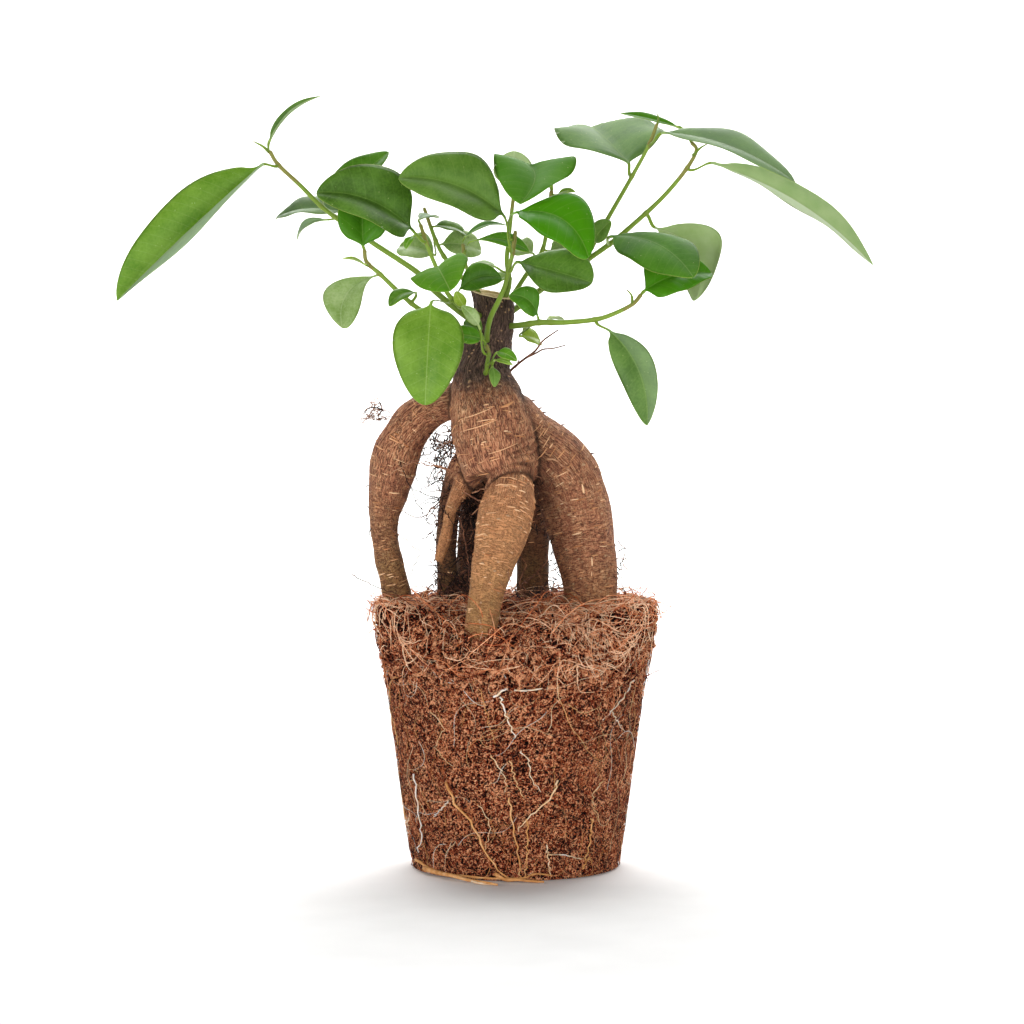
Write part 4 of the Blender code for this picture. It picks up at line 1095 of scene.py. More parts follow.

# %% [markdown]
# ## Hair roots in the gaps
#
# Where roots dried in the air they left dark wiry hairs, thickest in the hollow behind the front leg. Each tuft
# has a start, a spread and a lean. A hair is a random walk that keeps its heading for a while and sags. A few
# tan rootlets curl out of the gaps, and those are listed one by one.

# %% Tufts: start, scatter of starts, lean, number of hairs, and length
TUFTS = [
    ((-53, 4, 183), (2, 3, 2), (-1.0, 0.0, 0.3), 5, (5, 11)),
    ((-27, 14, 152), (4, 4, 9), (-0.4, -0.3, -0.8), 46, (8, 24)),
    ((-29, 16, 128), (3, 3, 16), (-0.7, -0.2, -0.3), 50, (4, 14)),
    ((-30, 12, 166), (3, 3, 8), (-0.5, -0.1, -0.9), 46, (5, 18)),
    ((-25.5, 6, 170), (1.4, 3, 9), (-0.2, -0.2, -0.9), 50, (4, 12)),
    ((-26, 14, 108), (6, 5, 6), (-0.6, -0.2, 0.1), 50, (6, 16)),
    ((-17, 2, 146), (3.5, 4, 6), (-0.1, -0.5, -0.7), 110, (6, 18)),
    ((-16, 8, 132), (3.5, 5, 12), (-0.2, -0.4, -0.4), 120, (5, 16)),
    ((-18, 10, 116), (4, 5, 7), (0.0, -0.4, 0.1), 80, (5, 16)),
    ((-24, -4, 148), (4, 5, 6), (-0.5, 0.2, -0.8), 26, (8, 22)),
    ((12, -8, 160), (3, 3, 6), (0.2, -0.3, -0.9), 36, (4, 13)),
    ((13, 4, 142), (2.5, 5, 10), (0.5, -0.2, -0.6), 50, (4, 12)),
    ((17, 2, 124), (2.5, 4, 10), (-0.7, -0.2, -0.3), 24, (3, 10)),
    ((40, -2, 122), (1.5, 3, 9), (1.0, -0.1, -0.2), 9, (4, 11)),
    ((-12, 22, 150), (8, 8, 6), (0.0, 0.2, -1.0), 40, (8, 24)),
    ((6, 22, 138), (5, 6, 12), (0.2, -0.1, -0.7), 34, (5, 16)),
    ((-57, 8, 150), (2, 4, 16), (-0.9, 0.2, -0.3), 7, (2, 5)),
    ((-22, 8, 110), (9, 8, 3), (0.1, -0.4, 0.6), 60, (5, 14)),
    ((10, 12, 108), (9, 9, 3), (0.1, -0.4, 0.5), 50, (5, 14)),
]


HAIR_STEPS = 11          # points along a hair
HAIR_STRETCH = 1.25      # makes every hair longer than the length its tuft lists
LOWEST_HAIR = 100        # mm, no hair goes lower


def hairs(start, spread, lean, n, reach):
    """One tuft of wiry hairs, as lines of points."""
    head = unit(np.array(lean) + dice.normal(0, 0.6, (n, 3)))
    step = dice.uniform(reach[0], reach[1], (n, 1)) * HAIR_STRETCH / HAIR_STEPS
    place = np.array(start) + dice.normal(0, 0.6, (n, 3)) * np.array(spread)
    line = [place]
    for _ in range(HAIR_STEPS - 1):
        head = unit(head + dice.normal(0, 0.52, (n, 3)) + [0, 0, -0.06])
        place = place + head * step
        line.append(place)
    line = np.stack(line, 1)
    return np.dstack([line[..., :2], np.maximum(line[..., 2], LOWEST_HAIR)])


strands = np.vstack([hairs(*tuft) for tuft in TUFTS])
wiry = drawn_threads("hair_roots", strands, 0.3, 0.12, 4, HAIR_ROOT, (-0.2, 0.8))
print("Hair roots:", len(strands))

# %% Curled rootlets, listed: thickness, tone, points (x, y, z)
ROOTLETS = [
    (0.42, 0.85, [(-22, -10, 158), (-30, -12, 160), (-38, -13, 162), (-44, -12, 161), (-50, -11, 157)]),
    (0.38, 0.80, [(-20, -10, 150), (-24, -13, 158), (-31, -14, 161), (-41, -13, 163), (-46, -12, 158)]),
    (0.30, 0.20, [(-46, -4, 162), (-42, -4, 152), (-39, -5, 145), (-35, -4, 138), (-31, -4, 128), (-29, -3, 122)]),
    (0.26, 0.15, [(-36, -4, 168), (-40, -4, 158), (-37, -4, 150), (-41, -3, 144), (-34, -3, 136)]),
    (0.34, 0.45, [(-66, 0, 117), (-57, -4, 113), (-49, -6, 110), (-43, -6, 106)]),
    (0.30, 0.70, [(-56, 0, 131), (-52.5, -2, 136), (-45, -4, 132), (-38, -5, 126), (-32, -6, 121)]),
    (0.26, 0.35, [(-38, -5, 126), (-42, -6, 116), (-36, -6, 112)]),
    (0.75, 0.85, [(10.5, -10, 163), (14, -15, 163.5), (19, -15, 161), (23, -14, 157)]),
    (0.30, 0.80, [(16, -14, 160), (15, -15, 155), (20, -14, 151)]),
    (0.60, 0.90, [(11, -8, 151), (15, -15, 149), (20, -13, 146), (24, -12, 144.5)]),
    (0.42, 0.80, [(-17, -16, 150), (-12, -22, 152), (-11, -28, 148), (-13, -27, 141)]),
    (0.55, 0.75, [(-22, -9, 152), (-16, -16, 148), (-13, -20, 146), (-17, -18, 142)]),
    (0.34, 0.65, [(-22, -12, 140), (-19, -14, 126), (-18, -15, 112)]),
    (0.36, 0.60, [(2, 4, 112), (8, -8, 118), (13, -9, 124), (10, -10, 130)]),
    (0.30, 0.75, [(5, -12, 104), (2, -16, 114), (4, -15, 122), (0, -14, 128)]),
    (0.45, 0.65, [(26, -13, 110), (18, -16, 113), (14, -16, 111), (9, -17, 112)]),
    (0.30, 0.55, [(41, -4, 131), (44, -5, 126), (43, -5, 121), (48, -5, 116), (50, -5, 111)]),
    (0.26, 0.45, [(38, -8, 118), (43, -8, 112), (44, -7, 105)]),
    (0.24, 0.70, [(-3, -47, 122), (-1, -44, 113), (4, -42, 104)]),
    (0.26, 0.80, [(-43, 2, 175), (-48, 1, 178), (-53, 2, 180), (-57, 2, 184)]),
]
CURL_STEPS = 18          # points along a rootlet
CURL_SHARE = 0.75        # radius as a share of the listed thickness
lines = np.array([fixed_count(rows, CURL_STEPS) for _, _, rows in ROOTLETS])
lines = lines + dice.normal(0, 0.28, lines.shape)
thick = np.array([CURL_SHARE * row[0] for row in ROOTLETS])[:, None] * np.linspace(1, 0.55, CURL_STEPS)[None]
curled = tube_mesh("curled_rootlets", lines, thick, 6, HAIR_ROOT, [row[1] for row in ROOTLETS])
print("Rootlets:", len(lines))

# %% The fine tuft over the left leg
wisp_start = np.array([[-52.0, 2, 179], [-54, 2, 183], [-56, 3, 185], [-57, 2, 180]])
wisp = np.vstack([hairs(start, (1, 1, 1), lean, 8, (6, 14)) for start, lean in zip(
    wisp_start, [(-1, 0, 0.1), (-1, 0, 0.4), (-0.8, 0, -0.2), (-0.9, 0, 0.7)])])
tuft = drawn_threads("wispy_tuft", wisp, 0.2, 0.08, 4, HAIR_ROOT, (0.55, 1.0))
print("Wisps:", len(wisp))

# %% [markdown]
# ## Green shoots
#
# A ficus shoot is a smooth green stem, with a slight swelling and a brown ring scar at each leaf. It is olive at
# the graft and yellow-green above. The mesh swells a little at every leaf.

# %% The stems' lines, and the leaves on them
SHOOTS = {
    "shoot_left_high": (1.35, 0.8, [
        (-13, -1, 216), (-21, -7, 221), (-32, -8, 230), (-39, -6, 237.5), (-57, -2, 249.5),
        (-75, 0, 262), (-86, 0, 272.5), (-94.5, 0, 280.5), (-98, 0, 286),
    ]),
    "shoot_left_low": (1.2, 0.8, [
        (-12, -3, 212), (-21, -12, 215), (-30, -15, 218.5), (-40.5, -15, 224.5),
        (-53.5, -16, 236.5), (-58.5, -17, 241), (-59.5, -17, 246),
    ]),
    "shoot_left_mid": (1.2, 0.75, [
        (-11, -2, 219), (-19.5, -14, 222.5), (-24.5, -19, 226), (-28, -20, 231),
        (-31, -20, 238.5), (-34.5, -19, 247), (-37.5, -17, 256),
    ]),
    "shoot_back_left": (1.1, 0.75, [
        (-10, 2, 224), (-20, 12, 234.5), (-26.5, 14, 241.5), (-31.5, 15, 249.5), (-37, 16, 264.5),
    ]),
    "shoot_centre_thin": (0.9, 0.65, [
        (-11, 0, 224), (-16, -1, 232), (-19.5, -3, 239.5), (-21, -4, 249),
    ]),
    "shoot_front": (1.2, 0.8, [
        (-11.5, -6, 208), (-11, -17, 214.5), (-9.5, -20, 220), (-6.5, -23, 226), (-4, -25, 232),
        (-2.5, -26, 238.5), (-1.2, -26, 244), (0, -26, 253),
    ]),
    "shoot_centre_back": (1.1, 0.75, [
        (-6, 0, 222), (-2.5, -1, 233), (-3.5, 0, 242), (-3, 1, 248.5), (-2, 3, 258), (-0.5, 4, 270.5),
    ]),
    "shoot_centre_right": (1.1, 0.7, [
        (-5, 3, 222), (1, 8, 232), (6.5, 11, 240.5), (11, 12, 247.5), (13, 10, 258.5), (14.5, 8, 271),
    ]),
    "shoot_right_low": (1.3, 0.8, [
        (-5, -3, 216), (2, -9, 216.5), (9.5, -11, 217.5), (19.5, -13, 217.5), (31, -16, 218.5),
        (38, -18, 220.5), (46, -18, 224.5), (49.5, -18, 228.5),
    ]),
    "shoot_right_main": (1.4, 0.75, [
        (-5, 3, 220), (3.5, 10, 226), (12, 13, 232.5), (24, 14, 240), (38.5, 12, 250),
        (47.5, 10, 257.5), (58.5, 6, 267.5), (67.5, 2, 278), (72, 0, 286), (70, 0, 289.5),
    ]),
    "shoot_right_upper": (1.05, 0.7, [
        (27.5, 13, 242.5), (30.5, 9, 248), (37, 6, 259.5), (46.5, 3, 276), (53, 1, 288),
        (56.5, 1, 297),
    ]),
    "shoot_trunk_front": (1.0, 0.7, [
        (-12.5, -9, 195.5), (-11.5, -18.5, 198.5), (-11, -20, 202), (-10.5, -21, 205.5),
        (-11.5, -21, 208.5),
    ]),
}

# Each leaf: place along its stem, foot and tip of the blade, width, share of the length where it is widest, the
# way its face looks, fold in degrees, bow, sideways sweep, and age
LEAVES = {
    "shoot_left_high": {
        "leaf_far_left": (0.94, (-101, -4, 280), (-157, -14, 226), 28.5, 0.50, (-3, -8, 5), 38, 4, 2.5, "bright"),
        "leaf_curled_tip": (1.0, (-98, 0, 290), (-77, 2, 308), 5, 0.40, (-5, -6, 6), 45, 3, 1.2, "mid"),
        "leaf_left_back": (0.60, (-69, 9, 262), (-97, 18, 260), 17, 0.45, (0, -5, 8), 15, 3, 0, "mid"),
        "leaf_left_tail": (0.67, (-76, 6, 259), (-88, 12, 251), 6, 0.50, (-6, -5, 6), 20, 3, 0, "mid"),
        "leaf_left_upright": (0.73, (-76, 6, 270), (-51, 12, 286.5), 14, 0.45, (-3, -8, 4), 18, 1.5, -2.5, "dark"),
    },
    "shoot_left_low": {
        "leaf_left_dark": (1.0, (-60, -17, 247.5), (-61.5, -6, 271), 22, 0.36, (1, -9, 3), 24, 2, 0, "dark"),
        "leaf_left_sliver": (0.90, (-59, -21, 240), (-68, -24, 242), 3, 0.50, (0, -5, 8), 20, 1, 0, "young"),
        "leaf_left_drooping": (0.81, (-55, -12, 236), (-68, -20, 215), 18, 0.63, (-3, -9, 3), 14, 2, -5.5, "pale"),
        "leaf_left_small": (0.56, (-39.5, -19.5, 229), (-49.5, -24, 223.5), 7.5, 0.50, (-2, -7, 6), 12, 1.5, -1,
                            "mid"),
    },
    "shoot_left_mid": {
        "leaf_big_left": (0.86, (-41, -24, 254), (-77, -36, 267), 31, 0.38, (-1, -8, 5), 22, 3, -3.5, "dark"),
        "leaf_left_bud": (0.92, (-40, -20, 251), (-43, -22, 246), 4, 0.50, (-4, -8, 3), 15, 1, 0, "bright"),
        "leaf_left_edge_on": (1.0, (-38, -14, 258), (-31, -4, 259), 8, 0.50, (0, -3, 9), 10, 1, 0, "mid"),
        "leaf_front_low": (0.63, (-30.5, -25, 238.5), (-25, -48, 228.7), 24, 0.50, (-3.4, -4.6, 7.9), 10, 3, 0,
                           "bright"),
        "leaf_front_round": (0.42, (-33, -32, 224), (-35, -40, 185), 28, 0.40, (0, -10, 1), 8, 3, 0, "bright"),
        "leaf_behind_cut": (0.33, (-22, -14, 230.5), (-5.5, -13, 235), 12.5, 0.50, (-1, -9, 4), 12, 1, 2.5,
                            "dark"),
    },
    "shoot_back_left": {
        "leaf_back_left": (0.74, (-33, 19, 245.5), (-47.5, 27, 249), 15, 0.50, (-1, -7, 6), 12, 2, 0, "pale"),
        "leaf_back_middle": (0.60, (-30, 21, 250), (-14, 26, 247.5), 14, 0.50, (0, -8, 5), 12, 2, 0, "pale"),
    },
    "shoot_centre_thin": {
        "leaf_strap_upper": (1.0, (-20, -3, 251.5), (-3, 5, 256.5), 4.5, 0.50, (-2, -6, 7), 20, 2, 1.5, "dark"),
        "leaf_strap_lower": (0.88, (-18, -7, 249.5), (5.5, -7, 245.5), 7.5, 0.66, (0, -8, 5), 15, 1, 3, "dark"),
    },
    "shoot_front": {
        "leaf_big_centre": (0.93, (-5, -30, 259), (-45, -40, 272.5), 29, 0.43, (0, -8, 5), 16, 3, -3.5, "mid"),
        "leaf_bright": (0.84, (0, -34, 259.5), (28, -46, 241.5), 25, 0.50, (1, -8, 6), 8, 4, 6, "mid"),
        "leaf_right_of_centre": (0.70, (1, -31, 240.5), (29.5, -42, 232), 23, 0.60, (1, -8, 5), 10, 2, -1, "dark"),
    },
    "shoot_centre_back": {
        "leaf_top_back": (1.0, (-1, 6, 273), (-0.5, 13, 287), 17, 0.55, (0, 9, -4), 14, 2, 0, "pale"),
        "leaf_pale_stub": (0.33, (-8, 3, 240), (-18, 8, 241), 7, 0.50, (0, -2, 9), 12, 1, 0, "pale"),
    },
    "shoot_centre_right": {
        "leaf_top_folded": (1.0, (5.1, -6, 279.9), (1.9, -34, 262.7), 36, 0.45, (0, -5, 8.5), 25, 2, 4, "mid"),
        "leaf_sprout_right": (0.97, (17, 6, 269), (24, 4, 270), 4, 0.45, (0, -7, 7), 15, 1, 0, "bright"),
        "leaf_pale_left": (0.49, (7, 16, 246), (-1, 24, 249), 11, 0.50, (0, -8, 5), 12, 1, 0, "pale"),
        "leaf_pale_right": (0.57, (14, 16, 247), (28, 26, 249), 13, 0.50, (0, -8, 5), 12, 1, 0, "pale"),
    },
    "shoot_right_low": {
        "leaf_right_boat": (1.0, (51, -19, 230), (77.4, -12, 236.8), 23, 0.34, (-1, -7, 5), 16, 2, 2, "dark"),
        "leaf_right_hanging": (0.65, (37, -20, 214), (51.5, -27, 177), 16.5, 0.46, (-4, -9, 2), 18, 2, 5.5, "mid"),
        "leaf_under_cut": (0.28, (8.5, -15, 220.5), (-2.5, -20, 228), 12, 0.42, (2, -9, 4), 10, 1, -2.5, "dark"),
        "leaf_right_young": (0.36, (13, -6, 219), (19, 4, 218), 5, 0.50, (0, -2, 9), 20, 1, 0, "young"),
        "leaf_pale_low": (0.22, (2.5, 2.5, 212.3), (10, 9, 210), 11, 0.40, (0, -7, 6), 12, 1, 0, "young"),
    },
    "shoot_right_main": {
        "leaf_far_right": (0.89, (79, -2, 281), (141, -14, 240), 20, 0.50, (3, 4, 8.8), 12, 6, 0, "mid"),
        "leaf_right_convex": (0.49, (38.5, 0, 252), (68.5, -40, 234.2), 27, 0.50, (1, -7, 6), -10, 4, 3.5, "dark"),
        "leaf_right_under": (0.67, (57, 14, 256), (72.8, 5, 227.2), 25, 0.48, (3, 8, 4), 10, 3, -8, "pale"),
        "leaf_top_narrow": (1.0, (65, 5, 296), (42, 12, 302), 6, 0.50, (1, -6, 8), 20, 0.5, 0, "dark"),
    },
    "shoot_right_upper": {
        "leaf_right_top_left": (0.63, (45.2, 4, 281.5), (31.5, 47, 299.5), 46, 0.46, (0, -4, 9), 12, 2, 1, "mid"),
        "leaf_right_top": (0.86, (59, -8, 292.5), (109.5, -20, 272), 19, 0.45, (2, -5, 7.5), 12, 4, 1.5, "mid"),
        "leaf_right_oval": (0.12, (31, 4, 250), (38, -2, 258), 9, 0.50, (-0.3, -8, 4), 12, 1, 0, "mid"),
    },
    "shoot_trunk_front": {
        "leaf_trunk_left": (1.0, (-13.5, -22.5, 210.8), (-26, -24, 212.5), 9, 0.42, (0, -8, 5), 14, 1, 0,
                            "bright"),
        "leaf_trunk_top": (0.80, (-14.5, -27.5, 216), (-21, -29, 223.5), 6, 0.45, (0, -8, 5), 14, 1, 0, "pale"),
        "leaf_trunk_right": (0.60, (-7, -24.5, 205.5), (0.5, -28.5, 202), 5.5, 0.45, (0, -8, 5), 14, 1.5, 0,
                             "bright"),
        "leaf_trunk_low": (0.36, (-9, -23.5, 199.5), (-8.3, -26.5, 192), 5, 0.45, (3, -9, 1), 14, 1, 0, "mid"),
    },
}

print("Shoots:", len(SHOOTS), "leaves:", sum(len(rows) for rows in LEAVES.values()))


# %% The stem material
def green_stem():
    """Young ficus stem: waxy green skin, mottled and slightly bumped, and a brown scar where `node` is high."""
    stem, feed = new_material("young_ficus_stem_waxy", Roughness=0.5, IOR=1.45, Specular_IOR_Level=0.3)
    along = add(stem, "Attribute", attribute_name="along")["Fac"]
    scar = add(stem, "Attribute", attribute_name="node")["Fac"]
    place = add(stem, "TexCoord")["Object"]
    mottle = add(stem, "TexNoise", {"Vector": place, "Scale": 0.35 / MM, "Detail": 4.0})["Fac"]
    mixed = add(stem, "Math", {0: mottle, 1: 0.3, 2: along}, operation="MULTIPLY_ADD")[0]
    tone = add(stem, "ValToRGB", {"Fac": mixed}, stops=[
        (0.1, "#5b6626"), (0.25, "#617826"), (0.6, "#6e892a"), (1.0, "#768f33"), (1.3, "#7e7c3a")])[0]
    worn = add(stem, "Math", {0: scar, 1: mottle}, operation="MULTIPLY")[0]
    tone = add(stem, "Mix", {"Factor": worn, 6: tone, 7: linear("#6b5a2e")}, data_type="RGBA")[2]
    feed("Base Color", tone)
    feed("Normal", add(stem, "Bump", {"Height": mottle, "Strength": 0.35, "Distance": 0.2 * MM})[0])
    return stem


STEM = green_stem()
print("Stem material ready")


# %% Build the stems
STEM_SPACING = 0.25      # mm between points of a stem's line
STEM_SIDES = 10


def stem_line(name):
    """A stem's fine line and radius, the same one that its leaves start from."""
    foot, tip, points = SHOOTS[name]
    line = spline(points, STEM_SPACING)
    return line, foot + (tip - foot) * np.linspace(0, 1, len(line))


def build_stem(name):
    """A stem that swells and scars at each of its leaves. Returns how many faces it has."""
    line, radius = stem_line(name)
    share = np.linspace(0, 1, len(line))
    swell = np.zeros(len(line))
    for row in LEAVES[name].values():
        swell += np.exp(-((share - row[0]) * len(line) * STEM_SPACING) ** 2)
    swell = np.minimum(swell, 1.0)
    pick = np.linspace(0, len(line) - 1, max(24, len(line) // 3)).round().astype(int)
    radius = (radius + 0.2 * swell)[pick]
    radius[-1] *= 0.6
    stem = tube_mesh("stem_" + name[6:], line[pick][None], radius[None], STEM_SIDES, STEM)
    scar = np.repeat(swell[pick] * (0.1 + 0.3 * share[pick]), STEM_SIDES).astype(np.float32)
    stem.data.attributes.new("node", "FLOAT", "POINT").data.foreach_set("value", scar)
    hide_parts(name)
    return len(stem.data.polygons)


print("Stem faces:", sum(build_stem(name) for name in SHOOTS))

# %% [markdown]
# ## Dry twig and stipules
#
# A dead forked twig is left on the neck, and a few flakes of bark lift off the right shoulder. At the tips
# of live shoots a stipule, the pointed sheath of the next leaf, stands up like a thorn.

# %% The twig and the stipules: first radius, last radius, points (x, y, z)
TWIGS = [
    (0.62, 0.28, [(-6, -3, 194), (-1, -3.5, 199.5), (4, -4, 203.5), (8, -4.5, 206.5), (11, -4, 210.5),
                  (17, -5, 214.7)]),
    (0.42, 0.25, [(4, -4, 203.5), (8, -4, 205.4), (11, -3, 207), (15, -2.5, 207.4), (20, -2, 208.7)]),
    (0.50, 0.25, [(-1, -3.5, 199.5), (0.5, -5, 200.5), (1.2, -6.5, 202.6)]),
]
SPLINTERS = []
for place in [(8, -3, 188), (11, -3, 185), (12.5, -3, 183.5), (19, -2, 178), (31, -2, 166)]:
    x, y, z = onto_bark(np.array([place], float), -0.4)[0]
    SPLINTERS.append((0.45, 0.12, [(x, y, z), (x + 1.1, y - 0.3, z + 0.4), (x + 2.1, y - 0.4, z + 0.3)]))
STIPULES = [
    (0.8, 0.2, [(-98, 0, 285.5), (-101, 0, 288), (-104.5, 0, 289.8)]),
    (0.75, 0.2, [(70.6, 0, 284), (73.5, -1, 287), (76.5, -1, 288.8)]),
    (0.7, 0.25, [(46, -18, 224.5), (45.5, -19.5, 228), (43.5, -20, 230.2)]),
    (0.6, 0.2, [(56.5, 1, 296.5), (56.9, 1, 299), (56.6, 1, 301)]),
]


TWIG_STEPS = 16          # points along a twig, a splinter or a stipule


def tapered(name, rows, material):
    """One piece of short spikes, from rows of a first radius, a last radius and points."""
    lines = np.array([fixed_count(points, TWIG_STEPS) for _, _, points in rows])
    radii = np.array([np.linspace(a, b, TWIG_STEPS) for a, b, _ in rows])
    piece = tube_mesh(name, lines, radii, 8, material, [0.6] * len(rows))
    return piece


twig = tapered("dry_forked_twig", TWIGS, HAIR_ROOT)
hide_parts("dry_twig")
tapered("bark_splinters", SPLINTERS, HAIR_ROOT)
tapered("stipules", STIPULES, STEM)
print("Twig,", len(SPLINTERS), "splinters and", len(STIPULES), "stipules")

# %% [markdown]
# ## Leaves: shape
#
# A leaf is one closed skin. It starts as a round stalk, flattens at the foot of the blade, and ends in a blunt
# tip. Cross-sections are laid along the leaf's line, each with a top and an underside a little apart. The
# halves fold up from the midrib, the margin waves, the midrib is a groove above and a ridge below, and the
# blade puffs slightly between side veins.

# %% The leaf's cross-section
STALK_STEPS = 8
GROWN = 24               # mm, a longer leaf has a thicker stalk, a grooved midrib and a finer mesh
VEIN_SPACING = 4.2       # mm between side veins on a grown leaf


def blade_width(t, belly, slender):
    """Share of the full width at a share of the length: an oval that is widest at `belly`, with a blunt tip."""
    oval = np.sin(math.pi * np.clip(t, 0, 1) ** (math.log(0.5) / math.log(belly)))
    return np.maximum(np.clip(oval, 0, 1) ** (0.85 - 0.45 * slender * t), 0.06)


def stalk_line(shoot, at, base, run):
    """The leaf stalk from the skin of its stem to the foot of the blade."""
    line, radius = stem_line(shoot)
    index = min(len(line) - 1, round(at * (len(line) - 1)))
    point, along = line[index], unit(np.gradient(line, axis=0))[index]
    if at >= 1.0:
        out, start = along, point
    else:
        out = base - point
        out = unit(out - along * out.dot(along))
        start = point + out * radius[index] * 0.6
    reach = np.linalg.norm(base - start)
    a, b = start + out * max(0.8, reach / 3), base - run * reach / 3
    t = np.linspace(0, 1, STALK_STEPS, endpoint=False)[:, None]
    return start * (1 - t)**3 + 3 * a * (1 - t)**2 * t + 3 * b * (1 - t) * t**2 + base * t**3


def leaf_points(shoot, row, seed):
    """Grid of points (stations, round the section) and the values that the material reads."""
    at, base, tip, width, belly, face, fold, bow, sweep, _ = row
    base, tip, face = (np.array(x, float) for x in (base, tip, face))
    chance = np.random.default_rng(seed)
    length = np.linalg.norm(tip - base)
    run = unit(tip - base)
    up = unit(face - run * face.dot(run))
    side = np.cross(up, run)
    stations = 42 if length > GROWN else 22
    half_count = 8 if width > 9 else 5
    t = 0.5 - 0.5 * np.cos(math.pi * np.linspace(0.02, 1, stations))
    arch = 4 * t * (1 - t)
    centre = base + run * length * t[:, None] + up * (bow * arch)[:, None] + side * (sweep * arch)[:, None]
    first = unit(centre[1] - base)
    line = np.vstack([stalk_line(shoot, at, base, first), centre])
    tangent = unit(np.gradient(line, axis=0))
    normal = unit(up - tangent * (tangent @ up)[:, None])
    across = np.linspace(-1, 1, 2 * half_count + 1)
    half = width / 2 * blade_width(t, belly, min(0.75, width / length))
    lift = section_lift(across, t, half, length, width, math.radians(fold), chance)
    stalk_radius = 0.68 if length > GROWN else 0.5
    spread = np.cos(math.radians(fold)) * half[:, None] * across
    thick = 0.42 * (1 - 0.75 * np.abs(across) ** 3)[None] * np.clip(half / 1.2, 0.35, 1)[:, None]
    rib = 0.5 * np.clip(1 - t, 0.1, 1)[:, None] * np.exp(-((half[:, None] * across) / 0.55) ** 2)
    up_top = lift + thick / 2 - 0.4 * rib * (length > GROWN)
    up_under = lift - thick / 2 - rib
    round_x = np.cos(np.pi * (1 - (across + 1) / 2)) * stalk_radius
    round_y = np.sin(np.pi * (across + 1) / 2) * stalk_radius
    blend = np.clip(t / 0.09, 0, 1)[:, None] ** 0.8
    top_x = round_x * (1 - blend) + spread * blend
    top_y = round_y * (1 - blend) + up_top * blend
    low_y = -round_y * (1 - blend) + up_under * blend
    stalk_x, stalk_y = np.tile(round_x, (STALK_STEPS, 1)), np.tile(round_y, (STALK_STEPS, 1))
    xs, tops, lows = np.vstack([stalk_x, top_x]), np.vstack([stalk_y, top_y]), np.vstack([-stalk_y, low_y])
    rim = 0.5 * (tops[:, [0, -1]] + lows[:, [0, -1]])
    tops[:, [0, -1]] = lows[:, [0, -1]] = rim
    ring_x = np.hstack([xs, xs[:, -2:0:-1]])
    ring_y = np.hstack([tops, lows[:, -2:0:-1]])
    places = line[:, None] + side * ring_x[..., None] + normal[:, None] * ring_y[..., None]
    reach = np.concatenate([-np.linspace(1, 0.05, STALK_STEPS) * 8, t * length])
    half_all = np.concatenate([np.full(STALK_STEPS, stalk_radius), half])
    signed = np.hstack([across, across[-2:0:-1]])[None] * half_all[:, None]
    edge = half_all[:, None] - np.abs(signed)
    values = {"reach": np.repeat(reach, ring_x.shape[1]), "off_rib": signed.ravel(), "edge": edge.ravel()}
    return places, values, half_count


def section_lift(across, t, half, length, width, fold, chance):
    """How high each point of a section stands over the leaf's line."""
    out = np.abs(across)[None] * half[:, None]
    lift = np.sin(fold) * out * (1 - 0.25 * np.exp(-out / 1.5))
    lift += 0.10 * half[:, None] * np.sin(math.pi * np.abs(across))[None]
    wave = 0.035 * width * np.sin(math.tau * (t * chance.uniform(1.2, 2.2) + chance.uniform(0, 1)))
    other = 0.035 * width * np.sin(math.tau * (t * chance.uniform(1.2, 2.2) + chance.uniform(0, 1)))
    rolled = np.where(across[None] > 0, wave[:, None], other[:, None])
    lift += rolled * np.abs(across)[None] ** 2.5 * np.sin(math.pi * t)[:, None] ** 0.5
    veins = np.cos(math.tau * (t[:, None] * length - 0.55 * out) / VEIN_SPACING)
    puff = 0.1 * np.clip(out / 2, 0, 1) * np.clip((half[:, None] - out) / 2, 0, 1) * (width > 9)
    return lift - puff * veins


near_tip = float(blade_width(np.array(0.95), 0.45, 0.5))
print("Share of the width left at 95% of a leaf's length:", round(near_tip, 2))

# %% [markdown]
# ## Leaves: finish
#
# A ficus leaf has a smooth waxy cuticle on top. The wax is a soft gloss and not a mirror: where the blade faces
# the overhead light it turns a milky grey-green, and elsewhere the green stays deep. On some blades a grey-green
# wax bloom and painted sheen is mixed into the colour, on a few mostly over one half. On others a deeper green is
# mixed in, partly the blade's own and partly painted light shining through it. Blades whose wax has worn off are
# matt. The midrib is a thin pale line, the side veins are barely lighter than the blade, and the margin has a
# hair-thin yellow-green rim where light comes through. The underside is matt and paler. Older leaves are deep
# green and new ones yellower, and five ages of the same leaf share one recipe.


# %% The waxy upper side
VEIN_LINE = 0.28         # mm, how wide a side vein shows
RIB_LINE = 0.3           # mm, half the width of the midrib's pale line


def vein_mask(leaf):
    """Masks of the side veins that leave the midrib at a slant, and of the midrib itself."""
    reach = add(leaf, "Attribute", attribute_name="reach")["Fac"]
    off = add(leaf, "Attribute", attribute_name="off_rib")["Fac"]
    out = add(leaf, "Math", {0: off}, operation="ABSOLUTE")[0]
    slant = add(leaf, "Math", {0: out, 1: -0.55, 2: reach}, operation="MULTIPLY_ADD")[0]
    place = add(leaf, "Math", {0: slant, 1: VEIN_SPACING}, operation="DIVIDE")[0]
    near = add(leaf, "Math", {0: place, 1: 0.5}, operation="PINGPONG")[0]
    veins = add(leaf, "MapRange", {"Value": near, "From Min": VEIN_LINE / VEIN_SPACING, "From Max": 0.0})[0]
    rib = add(leaf, "MapRange", {"Value": out, "From Min": RIB_LINE, "From Max": 0.08})[0]
    return veins, rib


